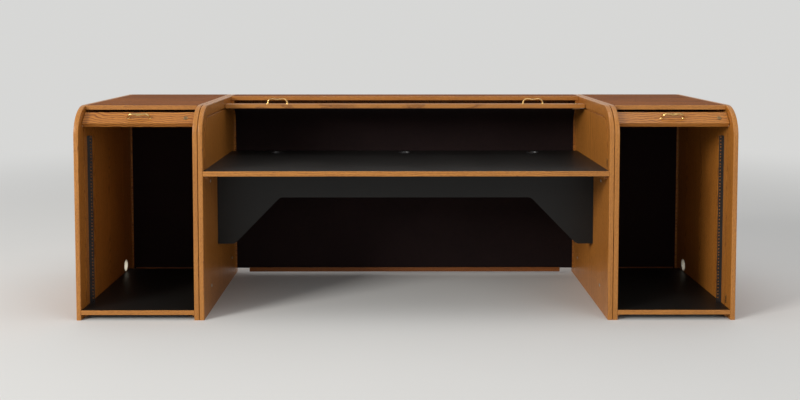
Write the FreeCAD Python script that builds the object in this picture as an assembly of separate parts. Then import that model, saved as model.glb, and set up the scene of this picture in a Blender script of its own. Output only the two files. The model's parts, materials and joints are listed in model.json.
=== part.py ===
import FreeCAD, Part
import math
import os

# Three-bay tambour desk in oak and black laminate, in millimetres.
# Frame: +Z up, +X to the user's right, the front faces -Y.  The origin is on the floor
# under the middle of the desk.  "depth" below is measured back from the front plane.

# ---------------------------------------------------------------- driving dimensions
desk_depth = 865.0
desk_height = 938.0
corner_radius = 130.0           # quarter-round top front corner of every side panel
panel_thickness = 21.0          # side panels
band_thickness = 4.0            # solid oak band round the edge of each side panel
pair_gap = 2.0                  # between the two side panels where units meet
centre_bay_width = 1770.0
pedestal_bay_width = 495.0      # takes 19-inch equipment

top_thickness = 20.0
pedestal_top_setback = 104.0    # front edge of the pedestal tops
centre_top_width = 158.0        # narrow centre top, front to back
lipping_thickness = 5.0         # solid oak strip on the front edges of the boards

base_height = 44.0              # upper face of the pedestal bases
base_thickness = 20.0
base_rear_gap = 61.5            # from the bases' back edges to the rear track

worktop_height = 657.0          # upper face
worktop_thickness = 22.0
worktop_rear_gap = 65.5         # from the worktop's back edge to the rear track
grommet_bore = 52.0
grommet_wall = 3.5
grommet_flange = 4.0            # how far a flange stands past its sleeve
grommet_lip = 2.0               # flange thickness
grommet_inset = 78.0            # from the worktop's back edge
grommet_spacing = 647.0

modesty_setback = 328.0
modesty_thickness = 16.0
modesty_drop = 369.0            # from the worktop down to its feet
modesty_arch_rise = 220.0       # leg cut-out, from the feet up to its flat
modesty_foot = 80.0             # width of each foot
modesty_slope = 215.0           # width of each slanted edge
modesty_round = 30.0

back_panel_thickness = 12.0
back_panel_inset = 30.0         # from the desk's back to the panels' front faces
back_panel_clearance = 60.0     # above the floor
vent_slot_length = 130.0
vent_slot_height = 9.0
vent_slot_pitch = 24.0
vent_slot_count = 5
vent_row_inset = 90.0           # from the panel's ends to its rows of vents

cleat_size = 16.0               # square battens that carry the boards
cleat_setback = 32.0            # front ends of the cleats under the boards
top_cleat_gap = 60.0            # from a pedestal top's front to its cleats

# tracks and tambours
groove_width = 8.2
groove_depth = 8.0
slat_pitch = 19.0
slat_gap = 1.0
slat_edge_thickness = 5.0
slat_thickness = 7.0            # at the crown
slat_end_clearance = 1.2        # from the slat's end to the groove's floor
canvas_thickness = 0.8
canvas_inset = 9.0              # canvas edge to the side panel
rear_track_inset = 58.5         # from the desk's back to the centre of the rear track
track_rear_foot = 8.0           # lower end of the rear track above the floor
centre_track_setback = 50.0
centre_rear_radius = 100.0
pedestal_track_setback = 76.0
pedestal_rear_radius = 80.0
curtain_foot = 14.0             # lowest slat above the floor, tambour open
tail_height = 22.0
tail_thickness = 7.5
tail_clearance = 0.3            # between tail batten and canvas
centre_tail_inset = 74.0        # tail batten end to side panel
pedestal_tail_inset = 20.0

# lead rails
rail_width = 65.0
rail_end_gap = 3.0              # rail end to side panel
rail_floor_gap = 2.0            # closed rail to the board below it
centre_rail_thickness = 18.0
centre_rail_reach = 172.0       # open centre rail's front edge before the centre top
centre_rail_clearance = 0.5     # under the rail's back, above the slat crowns
fold_room = 6.0                 # between the open centre rail and its roll axis, for the folded curtain
centre_slat_count = 6           # slats that run straight behind the centre rail
nose_length = 11.0              # of the first slat, under the rail's rear edge
pedestal_rail_thickness = 15.0
pedestal_rail_face = 45.0       # depth of the rail's face, tambour closed
pedestal_park_tilt = 46.0       # degrees that the open rail leans back
pedestal_park_rise = 45.0       # open pivot above the start of the front curve
rail_batten = 12.0
rail_batten_clearance = 0.5
pivot_offset = 12.0             # pivot in front of the track's centre
pivot_radius = 2.5
pivot_cover = 1.5               # wood behind the pivot's socket
pivot_length = 9.0
shoe_height = 12.0
running_clearance = 0.1
shoe_clearance = 0.6
plate_thickness = 1.2
plate_rim = 1.0                 # pivot plate in front of the pin
plate_gap = 0.8                 # pivot plate to side panel

# pulls
pull_centres = 96.0
pull_projection = 28.0
pull_radius = 4.0
pull_bend = 16.0
pull_foot_radius = 8.0
pull_foot_height = 6.0
pull_screw_radius = 2.0
pull_screw_head_radius = 4.0
pull_screw_head = 2.5
centre_pull_offset = 630.0

# locks
lock_inset = 42.0               # lock centre to the side panel on its right
lock_height = 30.0              # above the rail's lower edge
plug_radius = 5.5
bezel_radius = 10.0
bezel_height = 1.5
barrel_radius = 8.0
lock_case_width = 36.0
lock_case_height = 26.0
lock_case_thickness = 7.5
bolt_height = 10.0
bolt_thickness = 4.5
bolt_clearance = 0.4
bolt_tip_gap = 0.6              # drawn-back bolt to side panel
drive_pin_radius = 1.2
drive_pin_offset = 3.5          # the eccentric that moves the bolt
drive_slot_clearance = 0.25
keyway_width = 1.6
keyway_length = 7.0
keyway_depth = 6.0
strike_height = 36.0
strike_width = 14.0
strike_thickness = 1.5
pocket_depth = 7.0
pocket_margin = 1.5

# rack rails
rack_units = 17
rack_unit = 44.45
rack_first_hole = 6.35
rack_hole_pitch = 15.875
rack_unit_holes = 3
rack_hole_spacing = 465.1
rack_hole_radius = 3.5
rack_rail_setback = 120.0
rack_flange = 22.0
rack_web = 30.0
rack_sheet = 2.0
rack_screw_radius = 2.0
rack_screw_head = 4.0
rack_screw_head_height = 2.0
rack_screw_length = 12.0
rack_screw_count = 5
rack_screw_end = 50.0           # first and last screw from the rail's ends

# cable holes and connectors
cable_hole_radius = 30.0
cable_hole_inset = 180.0        # from the desk's back
cable_hole_rise = 31.0          # above the bases
sleeve_wall = 2.0
sleeve_stand = 1.0              # how far a liner stands out of the panel's inner face
connector_radius = 3.0
connector_cap_radius = 7.5
connector_cap_height = 2.0
connector_spacer_radius = 9.0
connector_setback = 170.0       # front pair, from the front
connector_inset = 165.0         # rear pair, from the desk's back
connector_rise = 66.0           # lower pair, above the bases
connector_drop = 45.0           # upper pair, under the worktop

# ---------------------------------------------------------------- derived places
centre_half = centre_bay_width / 2
centre_outer = centre_half + panel_thickness
pedestal_near = centre_outer + pair_gap + panel_thickness
pedestal_far = pedestal_near + pedestal_bay_width
desk_half = pedestal_far + panel_thickness
springline = desk_height - corner_radius
rear_run_setback = desk_depth - rear_track_inset
back_panel_setback = desk_depth - back_panel_inset
base_depth = rear_run_setback - base_rear_gap
worktop_depth = rear_run_setback - worktop_rear_gap
grommet_setback = worktop_depth - grommet_inset
centre_top_setback = desk_depth - centre_top_width
centre_rail_setback = centre_top_setback - centre_rail_reach
pedestal_park_height = springline + pedestal_park_rise
cable_hole_setback = desk_depth - cable_hole_inset
cable_hole_height = base_height + cable_hole_rise
top_underside = desk_height - top_thickness
worktop_underside = worktop_height - worktop_thickness
base_underside = base_height - base_thickness
half_slat = slat_thickness / 2
overcut = 1.0                   # how far a cutting block reaches past the cut
half_groove = groove_width / 2
clear_hole = connector_radius + running_clearance


class Track:
    """A tambour's path: up the front, back under the top and down the rear."""

    def __init__(self, setback, rear_radius, foot):
        self.front = setback
        self.foot = foot
        self.front_radius = corner_radius - setback
        self.height = springline + self.front_radius
        self.rear = rear_run_setback
        self.rear_radius = rear_radius
        self.rear_bend = self.rear - rear_radius
        self.rear_spring = self.height - rear_radius
        self.top_run = self.rear_bend - corner_radius
        self.rear_arc = math.pi / 2 * rear_radius

    def band(self, low_offset, high_offset):
        """Outline of the strip between two offsets from the path, outwards positive."""
        start = (self.front - high_offset, self.foot)
        steps = self._outward(high_offset) + [(self.rear + low_offset, track_rear_foot)]
        return start, steps + self._inward(low_offset, self.foot)

    def _outward(self, offset):
        front, rear = self.front_radius + offset, self.rear_radius + offset
        return [
            (self.front - offset, springline),
            (on_arc(corner_radius, springline, front, 135), (corner_radius, self.height + offset)),
            (self.rear_bend, self.height + offset),
            (on_arc(self.rear_bend, self.rear_spring, rear, 45), (self.rear + offset, self.rear_spring)),
            (self.rear + offset, track_rear_foot),
        ]

    def _inward(self, offset, foot):
        front, rear = self.front_radius + offset, self.rear_radius + offset
        return [
            (self.rear + offset, self.rear_spring),
            (on_arc(self.rear_bend, self.rear_spring, rear, 45), (self.rear_bend, self.height + offset)),
            (corner_radius, self.height + offset),
            (on_arc(corner_radius, springline, front, 135), (self.front - offset, springline)),
            (self.front - offset, foot),
        ]

    def place(self, along):
        """Depth, height and lean of the path at a distance behind the front springline.

        The lean is 0 where the path climbs the front, 90 along the top, 180 down the rear.
        """
        front_arc = math.pi / 2 * self.front_radius
        if along < front_arc:
            turn = along / self.front_radius
            return (corner_radius - self.front_radius * math.cos(turn),
                    springline + self.front_radius * math.sin(turn), math.degrees(turn))
        along -= front_arc
        if along < self.top_run:
            return corner_radius + along, self.height, 90.0
        along -= self.top_run
        if along < self.rear_arc:
            turn = along / self.rear_radius
            return (self.rear_bend + self.rear_radius * math.sin(turn),
                    self.rear_spring + self.rear_radius * math.cos(turn), 90 + math.degrees(turn))
        return self.rear, self.rear_spring - (along - self.rear_arc), 180.0

    def length_to_foot(self, foot):
        """Distance from the front springline to a height on the rear run."""
        return math.pi / 2 * self.front_radius + self.top_run + self.rear_arc + self.rear_spring - foot


def on_arc(depth, height, radius, degrees):
    """A point on a circle in the depth-height plane; 0 points back, 90 points up."""
    angle = math.radians(degrees)
    return depth + radius * math.cos(angle), height + radius * math.sin(angle)


centre_track = Track(centre_track_setback, centre_rear_radius, worktop_height)
pedestal_track = Track(pedestal_track_setback, pedestal_rear_radius, base_height)


# ---------------------------------------------------------------- shape helpers
def spot(x, depth, z):
    return FreeCAD.Vector(x, depth - desk_depth / 2, z)


def block(x_low, x_high, depth_low, depth_high, z_low, z_high):
    return Part.makeBox(x_high - x_low, depth_high - depth_low, z_high - z_low,
                        spot(x_low, depth_low, z_low))


def across(x_low, x_high, start, steps):
    """Extrude a closed depth-height outline across X.  A step is a point, or (mid, end) of an arc."""
    edges, here = [], spot(x_low, *start)
    for step in steps + [start]:
        if isinstance(step[0], tuple):
            middle, end = spot(x_low, *step[0]), spot(x_low, *step[1])
            edges.append(Part.Arc(here, middle, end).toShape())
        else:
            end = spot(x_low, *step)
            if end.distanceToPoint(here) < 1e-6:
                continue
            edges.append(Part.LineSegment(here, end).toShape())
        here = end
    return Part.Face(Part.Wire(edges)).extrude(FreeCAD.Vector(x_high - x_low, 0, 0))


def rod_x(x_low, x_high, depth, z, radius):
    return Part.makeCylinder(radius, x_high - x_low, spot(x_low, depth, z), FreeCAD.Vector(1, 0, 0))


def rod_y(x, depth_low, depth_high, z, radius):
    return Part.makeCylinder(radius, depth_high - depth_low, spot(x, depth_low, z), FreeCAD.Vector(0, 1, 0))


def rod_z(x, depth, z_low, z_high, radius):
    return Part.makeCylinder(radius, z_high - z_low, spot(x, depth, z_low), FreeCAD.Vector(0, 0, 1))


def rounded_outline(corners):
    """Closed XZ wire in the plane Y=0 from (x, z, radius) corners, each rounded by its radius."""
    edges, ends = [], []
    count = len(corners)
    for index, (x, z, radius) in enumerate(corners):
        corner = FreeCAD.Vector(x, 0, z)
        before = FreeCAD.Vector(corners[index - 1][0], 0, corners[index - 1][1])
        after = FreeCAD.Vector(corners[(index + 1) % count][0], 0, corners[(index + 1) % count][1])
        into, out = (before - corner).normalize(), (after - corner).normalize()
        half_angle = into.getAngle(out) / 2
        reach = radius / math.tan(half_angle)
        first, last = corner + into * reach, corner + out * reach
        if radius > 0:
            bisector = (into + out).normalize()
            middle = corner + bisector * (radius / math.sin(half_angle) - radius)
            edges.append(Part.Arc(first, middle, last).toShape())
        ends.append((first, last))
    for index in range(count):
        start, end = ends[index - 1][1], ends[index][0]
        if start.distanceToPoint(end) > 1e-6:
            edges.append(Part.LineSegment(start, end).toShape())
    return Part.Wire(Part.__sortEdges__(edges))


def save(name, *shapes):
    """Write one node; several shapes stay separate solids of that node."""
    solids = [solid for shape in shapes for solid in shape.Solids]
    shape = solids[0] if len(solids) == 1 else Part.makeCompound(solids)
    shape.exportStep("parts/" + name + ".step")


def mirrored(shape):
    return shape.mirror(FreeCAD.Vector(0, 0, 0), FreeCAD.Vector(1, 0, 0))


# ---------------------------------------------------------------- side panels
def panel_outline(inset):
    """Side panel outline, pulled in from its front and top edge by inset."""
    radius = corner_radius - inset
    start = (inset, 0)
    steps = [
        (inset, springline),
        (on_arc(corner_radius, springline, radius, 135), (corner_radius, desk_height - inset)),
        (desk_depth, desk_height - inset),
        (desk_depth, 0),
    ]
    return start, steps


def groove(track, x_face, side):
    """Track groove cut from the face at x_face into the board on the given side of it."""
    x_low, x_high = sorted((x_face, x_face + side * groove_depth))
    return across(x_low, x_high, *track.band(-half_groove, half_groove))


def loading_slot(x_face, side):
    """Straight upward end of the pedestal front groove, where the guide shoe parks."""
    x_low, x_high = sorted((x_face, x_face + side * groove_depth))
    return block(x_low, x_high, pedestal_track.front - half_groove, pedestal_track.front + half_groove,
                 springline - overcut, pedestal_park_height + shoe_height / 2 + shoe_clearance)


def rack_screw_places(x_face, side):
    """Centres of the screws of one rack rail on the panel face."""
    run = rack_units * rack_unit - 2 * rack_screw_end
    depth = rack_rail_setback + rack_web / 2 + rack_sheet
    for index in range(rack_screw_count):
        yield x_face, depth, base_height + rack_screw_end + run * index / (rack_screw_count - 1)


def connector_places():
    for depth in (connector_setback, desk_depth - connector_inset):
        for height in (base_height + connector_rise, worktop_underside - connector_drop):
            yield depth, height


def strike_recess(x_face, track_pose):
    """Recess for a strike plate and the pocket for the bolt behind it, in the board right of x_face."""
    depth, height = track_pose
    plate = block(x_face, x_face + strike_thickness, depth - strike_width / 2, depth + strike_width / 2,
                  height - strike_height / 2, height + strike_height / 2)
    return plate.fuse(bolt_pocket(x_face, track_pose))


def bolt_pocket(x_face, track_pose):
    radius = math.hypot(bolt_height, bolt_thickness) / 2 + pocket_margin / 2
    return rod_x(x_face, x_face + pocket_depth, *track_pose, radius)


def side_panel(x_low, grooved, track, cuts):
    """One side panel core; grooved is +1 when the track is on its right face, -1 on its left."""
    x_high = x_low + panel_thickness
    core = across(x_low, x_high, *panel_outline(band_thickness))
    face = x_high if grooved > 0 else x_low
    tools = [groove(track, face, -grooved)] + cuts
    return core.cut(tools)


def edge_band(x_low):
    x_high = x_low + panel_thickness
    whole = across(x_low, x_high, *panel_outline(0))
    return whole.cut(across(x_low - overcut, x_high + overcut, *panel_outline(band_thickness)))


def connector_holes(x_low):
    return [rod_x(x_low, x_low + panel_thickness, depth, height, clear_hole)
            for depth, height in connector_places()]


def pedestal_cuts(x_face, side):
    """Cuts on a pedestal's panel: loading slot and rack rail pilot holes, side points into the board."""
    cuts = [loading_slot(x_face, side)]
    pilot = rack_screw_radius + running_clearance
    for x, depth, z in rack_screw_places(x_face, side):
        x_low, x_high = sorted((x, x + side * rack_screw_length))
        cuts.append(rod_x(x_low, x_high, depth, z, pilot))
    return cuts


def cable_hole(x_low):
    return rod_x(x_low, x_low + panel_thickness, cable_hole_setback, cable_hole_height, cable_hole_radius)


# ---------------------------------------------------------------- lead rail geometry
# A rail is drawn upright, as it stands when closed: x across, a up from the pivot and b
# forward from the pivot.  It is then leaned back into the place where it parks.
pedestal_pivot_depth = pedestal_track_setback - pivot_offset
pedestal_rail_back = pedestal_pivot_depth - pedestal_rail_face - pedestal_rail_thickness   # b of the back
pedestal_rail_foot = -shoe_height / 2
pedestal_shut_height = base_height + rail_floor_gap - pedestal_rail_foot
pedestal_travel = pedestal_park_height - pedestal_shut_height

centre_roll_depth = centre_rail_setback + rail_width + fold_room     # roll axis, tambour open
centre_roll_height = springline
centre_run_travel = centre_roll_depth - corner_radius
centre_rail_back = centre_track.front_radius + half_slat + centre_rail_clearance
centre_rail_foot = -(rail_width + fold_room)
centre_drop_travel = springline + centre_rail_foot - worktop_height - rail_floor_gap


class RailFrame:
    """Upright drawing frame of a lead rail, and the place where it parks."""

    def __init__(self, depth, height, tilt, foot, back, thickness, x_low, x_high):
        self.depth, self.height, self.tilt = depth, height, tilt
        self.foot, self.back, self.thickness = foot, back, thickness
        self.x_low, self.x_high = x_low, x_high
        self.face = back + thickness

    def block(self, x_low, x_high, a_low, a_high, b_low, b_high):
        return Part.makeBox(x_high - x_low, b_high - b_low, a_high - a_low,
                            FreeCAD.Vector(x_low, -b_high, a_low))

    def rod(self, x, a, b_low, b_high, radius):
        return Part.makeCylinder(radius, b_high - b_low, FreeCAD.Vector(x, -b_low, a),
                                 FreeCAD.Vector(0, -1, 0))

    def cone(self, x, a, b_low, b_high, radius_low, radius_high):
        return Part.makeCone(radius_low, radius_high, b_high - b_low, FreeCAD.Vector(x, -b_low, a),
                             FreeCAD.Vector(0, -1, 0))

    def park(self, shape):
        placed = shape.copy()
        placed.rotate(FreeCAD.Vector(0, 0, 0), FreeCAD.Vector(1, 0, 0), -self.tilt)
        placed.translate(spot(0, self.depth, self.height))
        return placed

    def parked_point(self, a, b):
        """Depth and height of a point of the parked rail."""
        lean = math.radians(self.tilt)
        return (self.depth + a * math.sin(lean) - b * math.cos(lean),
                self.height + a * math.cos(lean) + b * math.sin(lean))


def pedestal_frame(x_low, x_high):
    return RailFrame(pedestal_pivot_depth, pedestal_park_height, pedestal_park_tilt, pedestal_rail_foot,
                     pedestal_rail_back, pedestal_rail_thickness, x_low, x_high)


centre_frame = RailFrame(centre_roll_depth, centre_roll_height, 90.0, centre_rail_foot,
                         centre_rail_back, centre_rail_thickness, -centre_half, centre_half)
left_frame = pedestal_frame(-pedestal_far, -pedestal_near)
right_frame = pedestal_frame(pedestal_near, pedestal_far)


def bolt_middle(frame):
    """Local a and b of the lock bolt's centre line."""
    return frame.foot + lock_height, frame.back - bolt_clearance - bolt_thickness / 2


def shut_bolt(frame, depth, height):
    """Depth and height of the bolt when the pivot stands at depth and height, rail upright."""
    a, b = bolt_middle(frame)
    return depth - b, height + a


pedestal_shut_bolt = shut_bolt(left_frame, pedestal_pivot_depth, pedestal_shut_height)
centre_shut_bolt = shut_bolt(centre_frame, corner_radius, springline - centre_drop_travel)
pedestal_open_bolt = left_frame.parked_point(*bolt_middle(left_frame))
centre_open_bolt = centre_frame.parked_point(*bolt_middle(centre_frame))


# ---------------------------------------------------------------- carcass
def build_sides():
    save("left_outer_side", side_panel(-desk_half, 1, pedestal_track,
                                       pedestal_cuts(-pedestal_far, -1) + [cable_hole(-desk_half)]))
    near_low = -pedestal_near
    save("left_inner_side", side_panel(near_low, -1, pedestal_track,
                                       pedestal_cuts(-pedestal_near, 1) + connector_holes(near_low)
                                       + [strike_recess(-pedestal_near, pedestal_shut_bolt),
                                          bolt_pocket(-pedestal_near, pedestal_open_bolt)]))
    save("centre_left_side", side_panel(-centre_outer, 1, centre_track, connector_holes(-centre_outer)))
    save("centre_right_side", side_panel(centre_half, -1, centre_track,
                                         connector_holes(centre_half)
                                         + [strike_recess(centre_half, centre_shut_bolt),
                                            bolt_pocket(centre_half, centre_open_bolt)]))
    inner_low = pedestal_near - panel_thickness
    save("right_inner_side", side_panel(inner_low, 1, pedestal_track,
                                        pedestal_cuts(pedestal_near, -1) + connector_holes(inner_low)))
    save("right_outer_side", side_panel(pedestal_far, -1, pedestal_track,
                                        pedestal_cuts(pedestal_far, 1) + [cable_hole(pedestal_far)]
                                        + [strike_recess(pedestal_far, pedestal_shut_bolt),
                                           bolt_pocket(pedestal_far, pedestal_open_bolt)]))
    save("left_edge_bands", edge_band(-desk_half), edge_band(-pedestal_near))
    save("centre_edge_bands", edge_band(-centre_outer), edge_band(centre_half))
    save("right_edge_bands", edge_band(pedestal_near - panel_thickness), edge_band(pedestal_far))


def build_tops():
    bays = (("left_top", -pedestal_far, -pedestal_near, pedestal_top_setback),
            ("centre_top", -centre_half, centre_half, centre_top_setback),
            ("right_top", pedestal_near, pedestal_far, pedestal_top_setback))
    edges = []
    for name, x_low, x_high, setback in bays:
        save(name, block(x_low, x_high, setback + lipping_thickness, desk_depth, top_underside, desk_height))
        edges.append(block(x_low, x_high, setback, setback + lipping_thickness, top_underside, desk_height))
    save("top_front_edges", *edges)


def build_bases():
    edges = []
    for name, x_low, x_high in (("left_base", -pedestal_far, -pedestal_near),
                                ("right_base", pedestal_near, pedestal_far)):
        save(name, block(x_low, x_high, lipping_thickness, base_depth, base_underside, base_height))
        edges.append(block(x_low, x_high, 0, lipping_thickness, base_underside, base_height))
    save("base_front_edges", *edges)


def grommet_places():
    return [(side * grommet_spacing, grommet_setback) for side in (-1, 0, 1)]


def build_worktop():
    board = block(-centre_half, centre_half, lipping_thickness, worktop_depth,
                  worktop_underside, worktop_height)
    outer = grommet_bore / 2 + grommet_wall
    rings = []
    for x, depth in grommet_places():
        hole_radius = outer + running_clearance
        board = board.cut(rod_z(x, depth, worktop_underside, worktop_height, hole_radius))
        sleeve = rod_z(x, depth, worktop_underside, worktop_height, outer)
        flange = rod_z(x, depth, worktop_height, worktop_height + grommet_lip, outer + grommet_flange)
        bore = rod_z(x, depth, worktop_underside, worktop_height + grommet_lip, grommet_bore / 2)
        rings.append(sleeve.fuse(flange).cut(bore))
    save("worktop", board)
    save("worktop_front_edge", block(-centre_half, centre_half, 0, lipping_thickness,
                                     worktop_underside, worktop_height))
    save("worktop_grommets", *rings)


def build_modesty_panel():
    foot = worktop_underside - modesty_drop
    flat = foot + modesty_arch_rise
    foot_inner = centre_half - modesty_foot
    flat_end = foot_inner - modesty_slope
    corners = [(-centre_half, worktop_underside, 0), (-centre_half, foot, 0),
               (-foot_inner, foot, modesty_round), (-flat_end, flat, modesty_round),
               (flat_end, flat, modesty_round), (foot_inner, foot, modesty_round),
               (centre_half, foot, 0), (centre_half, worktop_underside, 0)]
    wire = rounded_outline(corners)
    board = Part.Face(wire).extrude(FreeCAD.Vector(0, modesty_thickness, 0))
    board.translate(FreeCAD.Vector(0, modesty_setback - desk_depth / 2, 0))
    save("modesty_panel", board)


def vent_slots(x_middle, z_first, step):
    slots = []
    reach = (vent_slot_length - vent_slot_height) / 2
    radius = vent_slot_height / 2
    depths = (back_panel_setback, back_panel_setback + back_panel_thickness)
    for index in range(vent_slot_count):
        z = z_first + step * index * vent_slot_pitch
        slot = block(x_middle - reach, x_middle + reach, *depths, z - radius, z + radius)
        for side in (-1, 1):
            slot = slot.fuse(rod_y(x_middle + side * reach, *depths, z, radius))
        slots.append(slot)
    return slots


def build_back_panels():
    depths = (back_panel_setback, back_panel_setback + back_panel_thickness)
    save("centre_back", block(-centre_half, centre_half, *depths, back_panel_clearance, top_underside))
    middle = (pedestal_near + pedestal_far) / 2
    for name, side in (("left_back", -1), ("right_back", 1)):
        x_low, x_high = sorted((side * pedestal_near, side * pedestal_far))
        panel = block(x_low, x_high, *depths, back_panel_clearance, top_underside)
        low_row = vent_slots(side * middle, back_panel_clearance + vent_row_inset, 1)
        high_row = vent_slots(side * middle, top_underside - vent_row_inset, -1)
        save(name, panel.cut(low_row + high_row))


def cleat_pair(x_low, x_high, depth_low, depth_high, z_low, z_high):
    """Two cleats, one against each side panel of a bay."""
    return [block(x_low, x_low + cleat_size, depth_low, depth_high, z_low, z_high),
            block(x_high - cleat_size, x_high, depth_low, depth_high, z_low, z_high)]


def build_cleats():
    centre = (-centre_half, centre_half)
    pedestals = ((-pedestal_far, -pedestal_near), (pedestal_near, pedestal_far))
    cleats = cleat_pair(*centre, centre_top_setback + lipping_thickness, back_panel_setback,
                        top_underside - cleat_size, top_underside)
    for bay in pedestals:
        cleats += cleat_pair(*bay, pedestal_top_setback + top_cleat_gap, back_panel_setback,
                             top_underside - cleat_size, top_underside)
        cleats += cleat_pair(*bay, cleat_setback, base_depth, base_underside - cleat_size, base_underside)
    for bay in (centre, *pedestals):
        cleats += cleat_pair(*bay, back_panel_setback - cleat_size, back_panel_setback,
                             back_panel_clearance, top_underside - cleat_size)
    cleats += cleat_pair(-centre_half, centre_half, cleat_setback, modesty_setback,
                         worktop_underside - cleat_size, worktop_underside)
    cleats += cleat_pair(-centre_half, centre_half, modesty_setback + modesty_thickness, worktop_depth,
                         worktop_underside - cleat_size, worktop_underside)
    save("cleats", *cleats)


def build_connectors():
    """Bolts that tie each pedestal to the centre unit, with a spacer in the gap."""
    pieces = []
    reach_low, reach_high = centre_half, pedestal_near
    for depth, height in connector_places():
        shaft = rod_x(reach_low, reach_high, depth, height, connector_radius)
        for x_low in (reach_low - connector_cap_height, reach_high):
            cap_x = (x_low, x_low + connector_cap_height)
            shaft = shaft.fuse(rod_x(*cap_x, depth, height, connector_cap_radius))
        spacer = rod_x(centre_outer, centre_outer + pair_gap, depth, height, connector_spacer_radius)
        spacer = spacer.cut(rod_x(centre_outer, centre_outer + pair_gap, depth, height, clear_hole))
        pieces += [shaft, spacer, mirrored(shaft), mirrored(spacer)]
    save("unit_connectors", *pieces)


def build_cable_sleeves():
    outer = cable_hole_radius - running_clearance
    reach = (pedestal_far - sleeve_stand, desk_half, cable_hole_setback, cable_hole_height)
    ring = rod_x(*reach, outer).cut(rod_x(*reach, outer - sleeve_wall))
    save("cable_hole_sleeves", ring, mirrored(ring))


# ---------------------------------------------------------------- rack rails
def rack_rail(x_face, side, x_middle):
    """L-section rail on the panel face at x_face; side points into the bay."""
    z_low, z_high = base_height, base_height + rack_units * rack_unit
    flange_x = sorted((x_face, x_face + side * rack_flange))
    web_x = sorted((x_face, x_face + side * rack_sheet))
    rail = block(*flange_x, rack_rail_setback, rack_rail_setback + rack_sheet, z_low, z_high)
    rail = rail.fuse(block(*web_x, rack_rail_setback + rack_sheet, rack_rail_setback + rack_sheet + rack_web,
                           z_low, z_high))
    hole_x = x_middle - side * rack_hole_spacing / 2
    heights = [z_low + unit * rack_unit + rack_first_hole + hole * rack_hole_pitch
               for unit in range(rack_units) for hole in range(rack_unit_holes)]
    holes = [rod_y(hole_x, rack_rail_setback, rack_rail_setback + rack_sheet, z, rack_hole_radius)
             for z in heights]
    for x, depth, z in rack_screw_places(x_face, side):
        holes.append(rod_x(*web_x, depth, z, rack_screw_radius + running_clearance))
    return rail.cut(holes)


def rack_screws(x_face, side):
    screws = []
    head_low = x_face + side * rack_sheet
    for x, depth, z in rack_screw_places(x_face, side):
        shaft_x = sorted((head_low, x_face - side * rack_screw_length))
        head_x = sorted((head_low, head_low + side * rack_screw_head_height))
        screws.append(rod_x(*shaft_x, depth, z, rack_screw_radius).fuse(
            rod_x(*head_x, depth, z, rack_screw_head)))
    return screws


def build_rack_rails():
    screws = []
    middle = (pedestal_near + pedestal_far) / 2
    for name, side in (("left_rack_rails", -1), ("right_rack_rails", 1)):
        near, far, centre = side * pedestal_near, side * pedestal_far, side * middle
        save(name, rack_rail(near, side, centre), rack_rail(far, -side, centre))
        screws += rack_screws(near, side) + rack_screws(far, -side)
    save("rack_rail_screws", *screws)


# ---------------------------------------------------------------- tambours
def slat(x_low, x_high, depth, height, lean):
    """One slat with a crowned outer face, centred on the track and turned to its lean."""
    half = (slat_pitch - slat_gap) / 2
    edge = slat_edge_thickness - half_slat
    corners = [FreeCAD.Vector(x_low, half_slat, -half), FreeCAD.Vector(x_low, half_slat, half),
               FreeCAD.Vector(x_low, -edge, half), FreeCAD.Vector(x_low, -edge, -half)]
    crown = FreeCAD.Vector(x_low, -half_slat, 0)
    edges = [Part.LineSegment(corners[0], corners[1]).toShape(),
             Part.LineSegment(corners[1], corners[2]).toShape(),
             Part.Arc(corners[2], crown, corners[3]).toShape(),
             Part.LineSegment(corners[3], corners[0]).toShape()]
    shape = Part.Face(Part.Wire(edges)).extrude(FreeCAD.Vector(x_high - x_low, 0, 0))
    shape.rotate(FreeCAD.Vector(0, 0, 0), FreeCAD.Vector(1, 0, 0), -lean)
    shape.translate(spot(0, depth, height))
    return shape


def curtain(track, x_low, x_high, first):
    """Slats from a distance along the track down to the rear foot."""
    reach = groove_depth - slat_end_clearance
    last = track.length_to_foot(curtain_foot + slat_pitch / 2)
    count = int((last - first - slat_pitch / 2) / slat_pitch) + 1
    return [slat(x_low - reach, x_high + reach, *track.place(last - index * slat_pitch))
            for index in range(count)]


def canvas(track, x_low, x_high, start, steps):
    return across(x_low + canvas_inset, x_high - canvas_inset, start, steps)


def canvas_path(track, depth_start):
    """Canvas strip on the inner side of the slats, from a depth on the top run to the rear foot."""
    high, low = -half_slat, -half_slat - canvas_thickness
    foot = curtain_foot + slat_gap
    start = (depth_start, track.height + high)
    steps = [
        (track.rear_bend, track.height + high),
        (on_arc(track.rear_bend, track.rear_spring, track.rear_radius + high, 45),
         (track.rear + high, track.rear_spring)),
        (track.rear + high, foot),
        (track.rear + low, foot),
        (track.rear + low, track.rear_spring),
        (on_arc(track.rear_bend, track.rear_spring, track.rear_radius + low, 45),
         (track.rear_bend, track.height + low)),
        (depth_start, track.height + low),
    ]
    return start, steps


def tail_batten(track, x_low, x_high, inset):
    back = track.rear - half_slat - canvas_thickness - tail_clearance
    return block(x_low + inset, x_high - inset, back - tail_thickness, back,
                 curtain_foot, curtain_foot + tail_height)


def build_pedestal_tambour(name, x_low, x_high):
    track = pedestal_track
    first = math.pi / 2 * track.front_radius
    save(name + "_slats", *curtain(track, x_low, x_high, first))
    save(name + "_canvas", canvas(track, x_low, x_high, *canvas_path(track, corner_radius)))
    save(name + "_tail_batten", tail_batten(track, x_low, x_high, pedestal_tail_inset))


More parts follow.
